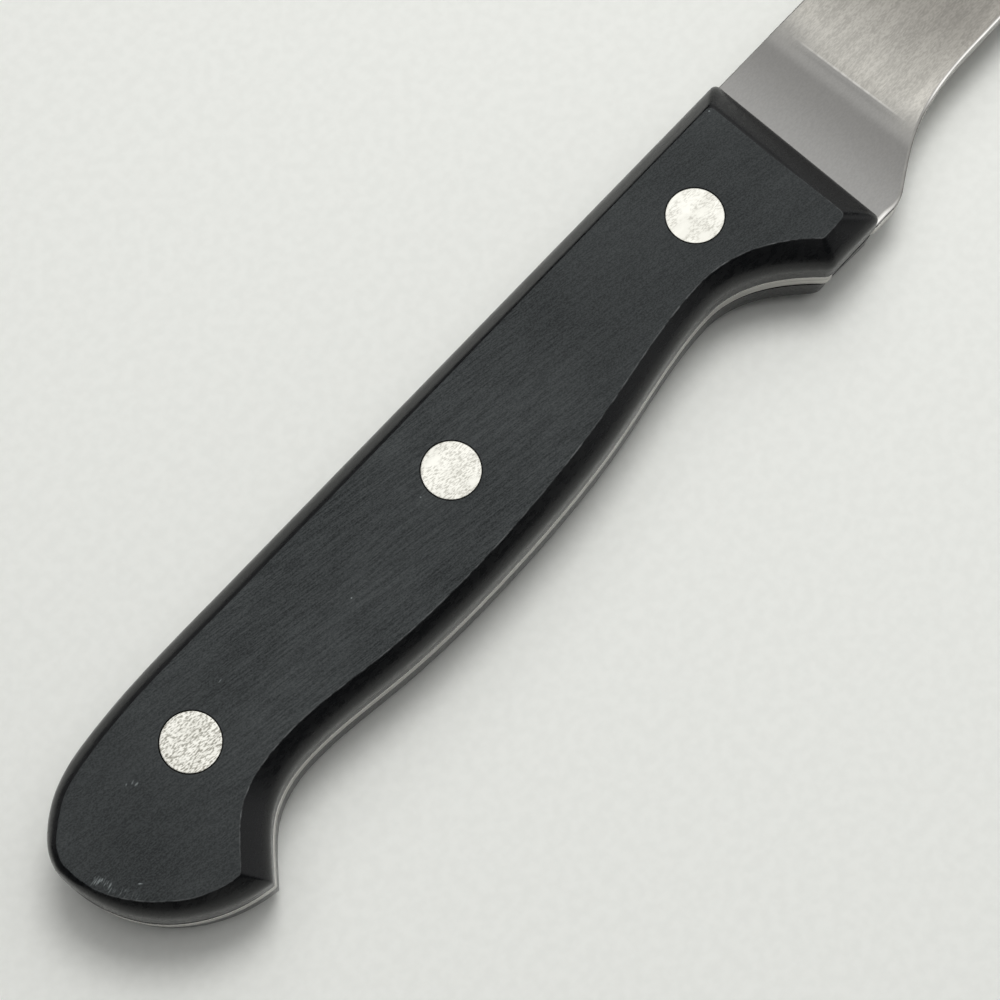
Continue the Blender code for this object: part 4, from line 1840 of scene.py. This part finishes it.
            def height_of(x: float, y: float, sign: int = side.value) -> float:
                """Height of this face at a place."""
                return self.middle_height(x) + sign * self.half_thickness(x, y)

            inner = inside_points(borders[side], stations, self.grid, self.grid * self.grid_margin, circles)
            sketch.fill(borders[side], holes[side], inner, height_of, BladeSlot.FACE)

    def dress(self, face: Material, edge: Material, tang: Material) -> None:
        """Gives the piece its finishes and its place in the frame.

        Args:
            face: The finish of the two faces and the holes.
            edge: The finish of the eased edges.
            tang: The finish of the edge between them.
        """
        for material in (face, edge, tang):
            self.piece.data.materials.append(material)
        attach(self.piece, BODY)
        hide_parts("fork_blade")


@dataclass
class Rivet:
    """A rivet: a hollow half from above and a solid half from below."""

    sizes: FrameSizes
    place: RivetPlace
    head_radius: float = 0.0035
    head_thickness: float = 0.0018
    barrel_radius: float = 0.0024
    pin_radius: float = 0.0015
    fit_gap: float = 0.00015
    pin_chamfer: float = 0.0004
    bore_room: float = 0.0006
    edge_round: float = 0.00006
    edge_bend: float = 0.000018
    rim_width: float = 0.00018
    inner_radius: float = 0.00175
    round_steps: int = 96
    crease: float = 40.0
    barrel: Piece | None = field(default=None, init=False)
    pin: Piece | None = field(default=None, init=False)

    @property
    def name(self) -> str:
        """The rivet's name in the frame, without its half."""
        return f"{self.place.name.lower()}_rivet"

    def turned(self, name: str, profile: Sequence[Pair]) -> Piece:
        """Turns a closed profile about the rivet's axis.

        Args:
            name: The piece's name.
            profile: Pairs of radius and height, from axis to axis.

        Returns:
            The piece.
        """
        sketch = MeshSketch(name)
        rings = [sketch.ring(circle(0.0, radius, height, self.round_steps))
                 for radius, height in profile[1:-1]]
        sketch.bridge(rings)
        sketch.fan(rings[0], profile[0][1])
        sketch.fan(rings[-1], profile[-1][1])
        return sketch.piece(self.sizes.middle_x + self.sizes.rivet_x(self.place), self.crease)

    def head(self, face: float, side: Side) -> list[Pair]:
        """The head's profile from its rim under the face to the axis.

        Args:
            face: Height of the head's outer face.
            side: The side that the face looks to.

        Returns:
            Pairs of radius and height, ending on the axis.
        """
        return [
            (self.head_radius, face - side.value * self.edge_round),
            (self.head_radius - self.edge_bend, face - side.value * self.edge_bend),
            (self.head_radius - self.edge_round, face),
            (self.head_radius - self.rim_width, face),
            (self.inner_radius, face),
            (0.0, face),
        ]

    def build(self) -> None:
        """Builds the two halves."""
        top = self.sizes.outer_face[Side.UPPER]
        bottom = self.sizes.outer_face[Side.LOWER]
        underside = top - self.head_thickness
        shoulder = bottom + self.head_thickness
        bore = self.pin_radius + self.fit_gap
        tip = underside - self.bore_room
        self.barrel = self.turned(f"{self.name}_barrel_body", [
            (0.0, underside),
            (bore, underside),
            (bore, shoulder + self.fit_gap),
            (self.barrel_radius, shoulder + self.fit_gap),
            (self.barrel_radius, underside),
            (self.head_radius, underside),
            *self.head(top, Side.UPPER),
        ])
        self.pin = self.turned(f"{self.name}_pin_body", [
            (0.0, tip),
            (self.pin_radius - self.pin_chamfer, tip),
            (self.pin_radius, tip - self.pin_chamfer),
            (self.pin_radius, shoulder),
            (self.head_radius, shoulder),
            *self.head(bottom, Side.LOWER),
        ])

    def dress(self, metal: Material) -> None:
        """Gives both halves their finish and their place in the frame.

        Args:
            metal: The finish of the whole rivet.
        """
        for piece, half in ((self.barrel, "barrel"), (self.pin, "pin")):
            piece.data.materials.append(metal)
            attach(piece, BODY)
            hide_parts(f"{self.name}_{half}")


@dataclass(frozen=True)
class Glow:
    """A bright patch of the room: full within one angle of its middle, gone beyond another."""

    middle: Place
    strength: float
    inner: float
    outer: float


@dataclass(frozen=True)
class Lamp:
    """A round soft lamp that looks at the middle of the floor.

    One that doesn't shine is a card: it shows in the gloss of a surface and lights nothing else. One
    that isn't mirrored lights the surfaces and doesn't show in their gloss.
    """

    name: str
    place: Place
    size: float
    power: float
    shines: bool = True
    mirrored: bool = True

    def hang(self) -> None:
        """Adds the lamp to the scene."""
        data = bpy.data.lights.new(self.name, "AREA")
        data.shape = "DISK"
        data.size = self.size
        data.energy = self.power
        lamp = put_in_scene(self.name, data, self.place)
        lamp.visible_camera = False
        lamp.visible_diffuse = self.shines
        lamp.visible_glossy = self.mirrored
        aim(lamp, -Vector(self.place))


@dataclass
class Studio:
    """The floor, the soft light and the camera at the photograph's angle."""

    floor_reach: float = 3.0
    floor_level: float = 0.0
    camera_place: Place = (-0.07359, -0.05530, 0.26721)
    camera_aim: Place = (0.2031, 0.1852, -0.9615)
    focal_pixels: float = 2310.6
    picture_pixels: float = 1000.0
    sensor: float = 36.0
    sight: Pair = (0.01, 20.0)
    glows: Sequence[Glow] = (
        Glow((0.30, 0.14, 0.94), 1.18, 24.0, 46.0),
        Glow((0.72, -0.66, 0.21), 0.60, 8.0, 32.0),
    )
    dimness: float = 0.08
    lamps: Sequence[Lamp] = (
        Lamp("ceiling_lamp", (0.123, 0.080, 0.457), 0.195, 0.84, mirrored=False),
        Lamp("front_softbox", (0.70, 0.20, 0.20), 0.6, 0.40),
        Lamp("spine_card", (-0.30, 1.06, 0.48), 1.4, 1.21, shines=False),
        Lamp("butt_card", (-0.55, -0.57, 0.76), 0.7, 0.36, shines=False),
    )

    def build(self) -> None:
        """Sets up floor, light and camera."""
        self.lay_floor()
        self.light_room()
        for lamp in self.lamps:
            lamp.hang()
        self.place_camera()
        bpy.context.scene.view_settings.view_transform = "Standard"

    def lay_floor(self) -> None:
        """Lays the pale floor under the fork."""
        reach = self.floor_reach
        corners = [(-reach, -reach), (reach, -reach), (reach, reach), (-reach, reach)]
        mesh = bpy.data.meshes.new("floor")
        mesh.from_pydata([(x, y, self.floor_level) for x, y in corners], [], [range(len(corners))])
        mesh.materials.append(PaleFloor().material())
        put_in_scene("floor", mesh, ORIGIN)

    def light_room(self) -> None:
        """Makes a dim room with a bright patch for each glow."""
        world = bpy.data.worlds.new("room")
        world.use_nodes = True
        sketch = NodeSketch(world.node_tree)
        direction = sketch.node("TexCoord").outputs["Generated"]
        strength: Value = self.dimness
        for glow in self.glows:
            middle = tuple(Vector(glow.middle).normalized())
            nearness = sketch.node("VectorMath", {"operation": "DOT_PRODUCT"}, direction, middle)
            outer, inner = (math.cos(math.radians(angle)) for angle in (glow.outer, glow.inner))
            rise = sketch.level(nearness.outputs["Value"], outer, inner, 0.0, glow.strength)
            strength = sketch.plus(rise, strength)
        sketch.feed_named(world.node_tree.nodes["Background"], {"Color": WHITE, "Strength": strength})
        bpy.context.scene.world = world

    def place_camera(self) -> None:
        """Puts the camera where the photograph was taken."""
        data = bpy.data.cameras.new("camera")
        data.sensor_width = self.sensor
        data.lens = self.focal_pixels / self.picture_pixels * self.sensor
        data.clip_start, data.clip_end = self.sight
        camera = put_in_scene("camera", data, self.camera_place)
        aim(camera, Vector(self.camera_aim))
        bpy.context.scene.camera = camera


def clear_start_scene() -> None:
    """Removes the objects that a new file starts with."""
    for item in list(bpy.data.objects):
        bpy.data.objects.remove(item, do_unlink=True)


def main() -> None:
    """Builds the fork piece by piece, then the studio."""
    logging.basicConfig(level=logging.INFO, format="%(name)s: %(message)s")
    clear_start_scene()
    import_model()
    sizes = FrameSizes.read()
    shape = HandleShape(sizes)

    blade = Blade(sizes, shape)
    blade.build()
    blade.dress(BladeFace(sizes.front_end, blade.lip, blade.plunge_slant).material(),
                HighlightedEdge().material(), TangEdge().material())
    LOG.info("%s: %d faces", blade.piece.name, len(blade.piece.data.polygons))

    flank = SatinFlank().material()
    for side, scuffs in ((Side.UPPER, UPPER_SCUFFS), (Side.LOWER, ())):
        scale = Scale(sizes, shape, side)
        scale.build()
        scale.dress(SandedFace(side, scuffs).material(), flank)
        LOG.info("%s: %d faces", scale.piece.name, len(scale.piece.data.polygons))

    for place in RivetPlace:
        rivet = Rivet(sizes, place)
        rivet.build()
        rivet.dress(RivetMetal(place).material())
        for piece in (rivet.barrel, rivet.pin):
            LOG.info("%s: %d faces", piece.name, len(piece.data.polygons))

    Studio().build()
    LOG.info("floor, lamps and camera")


if __name__ == "__main__":
    main()
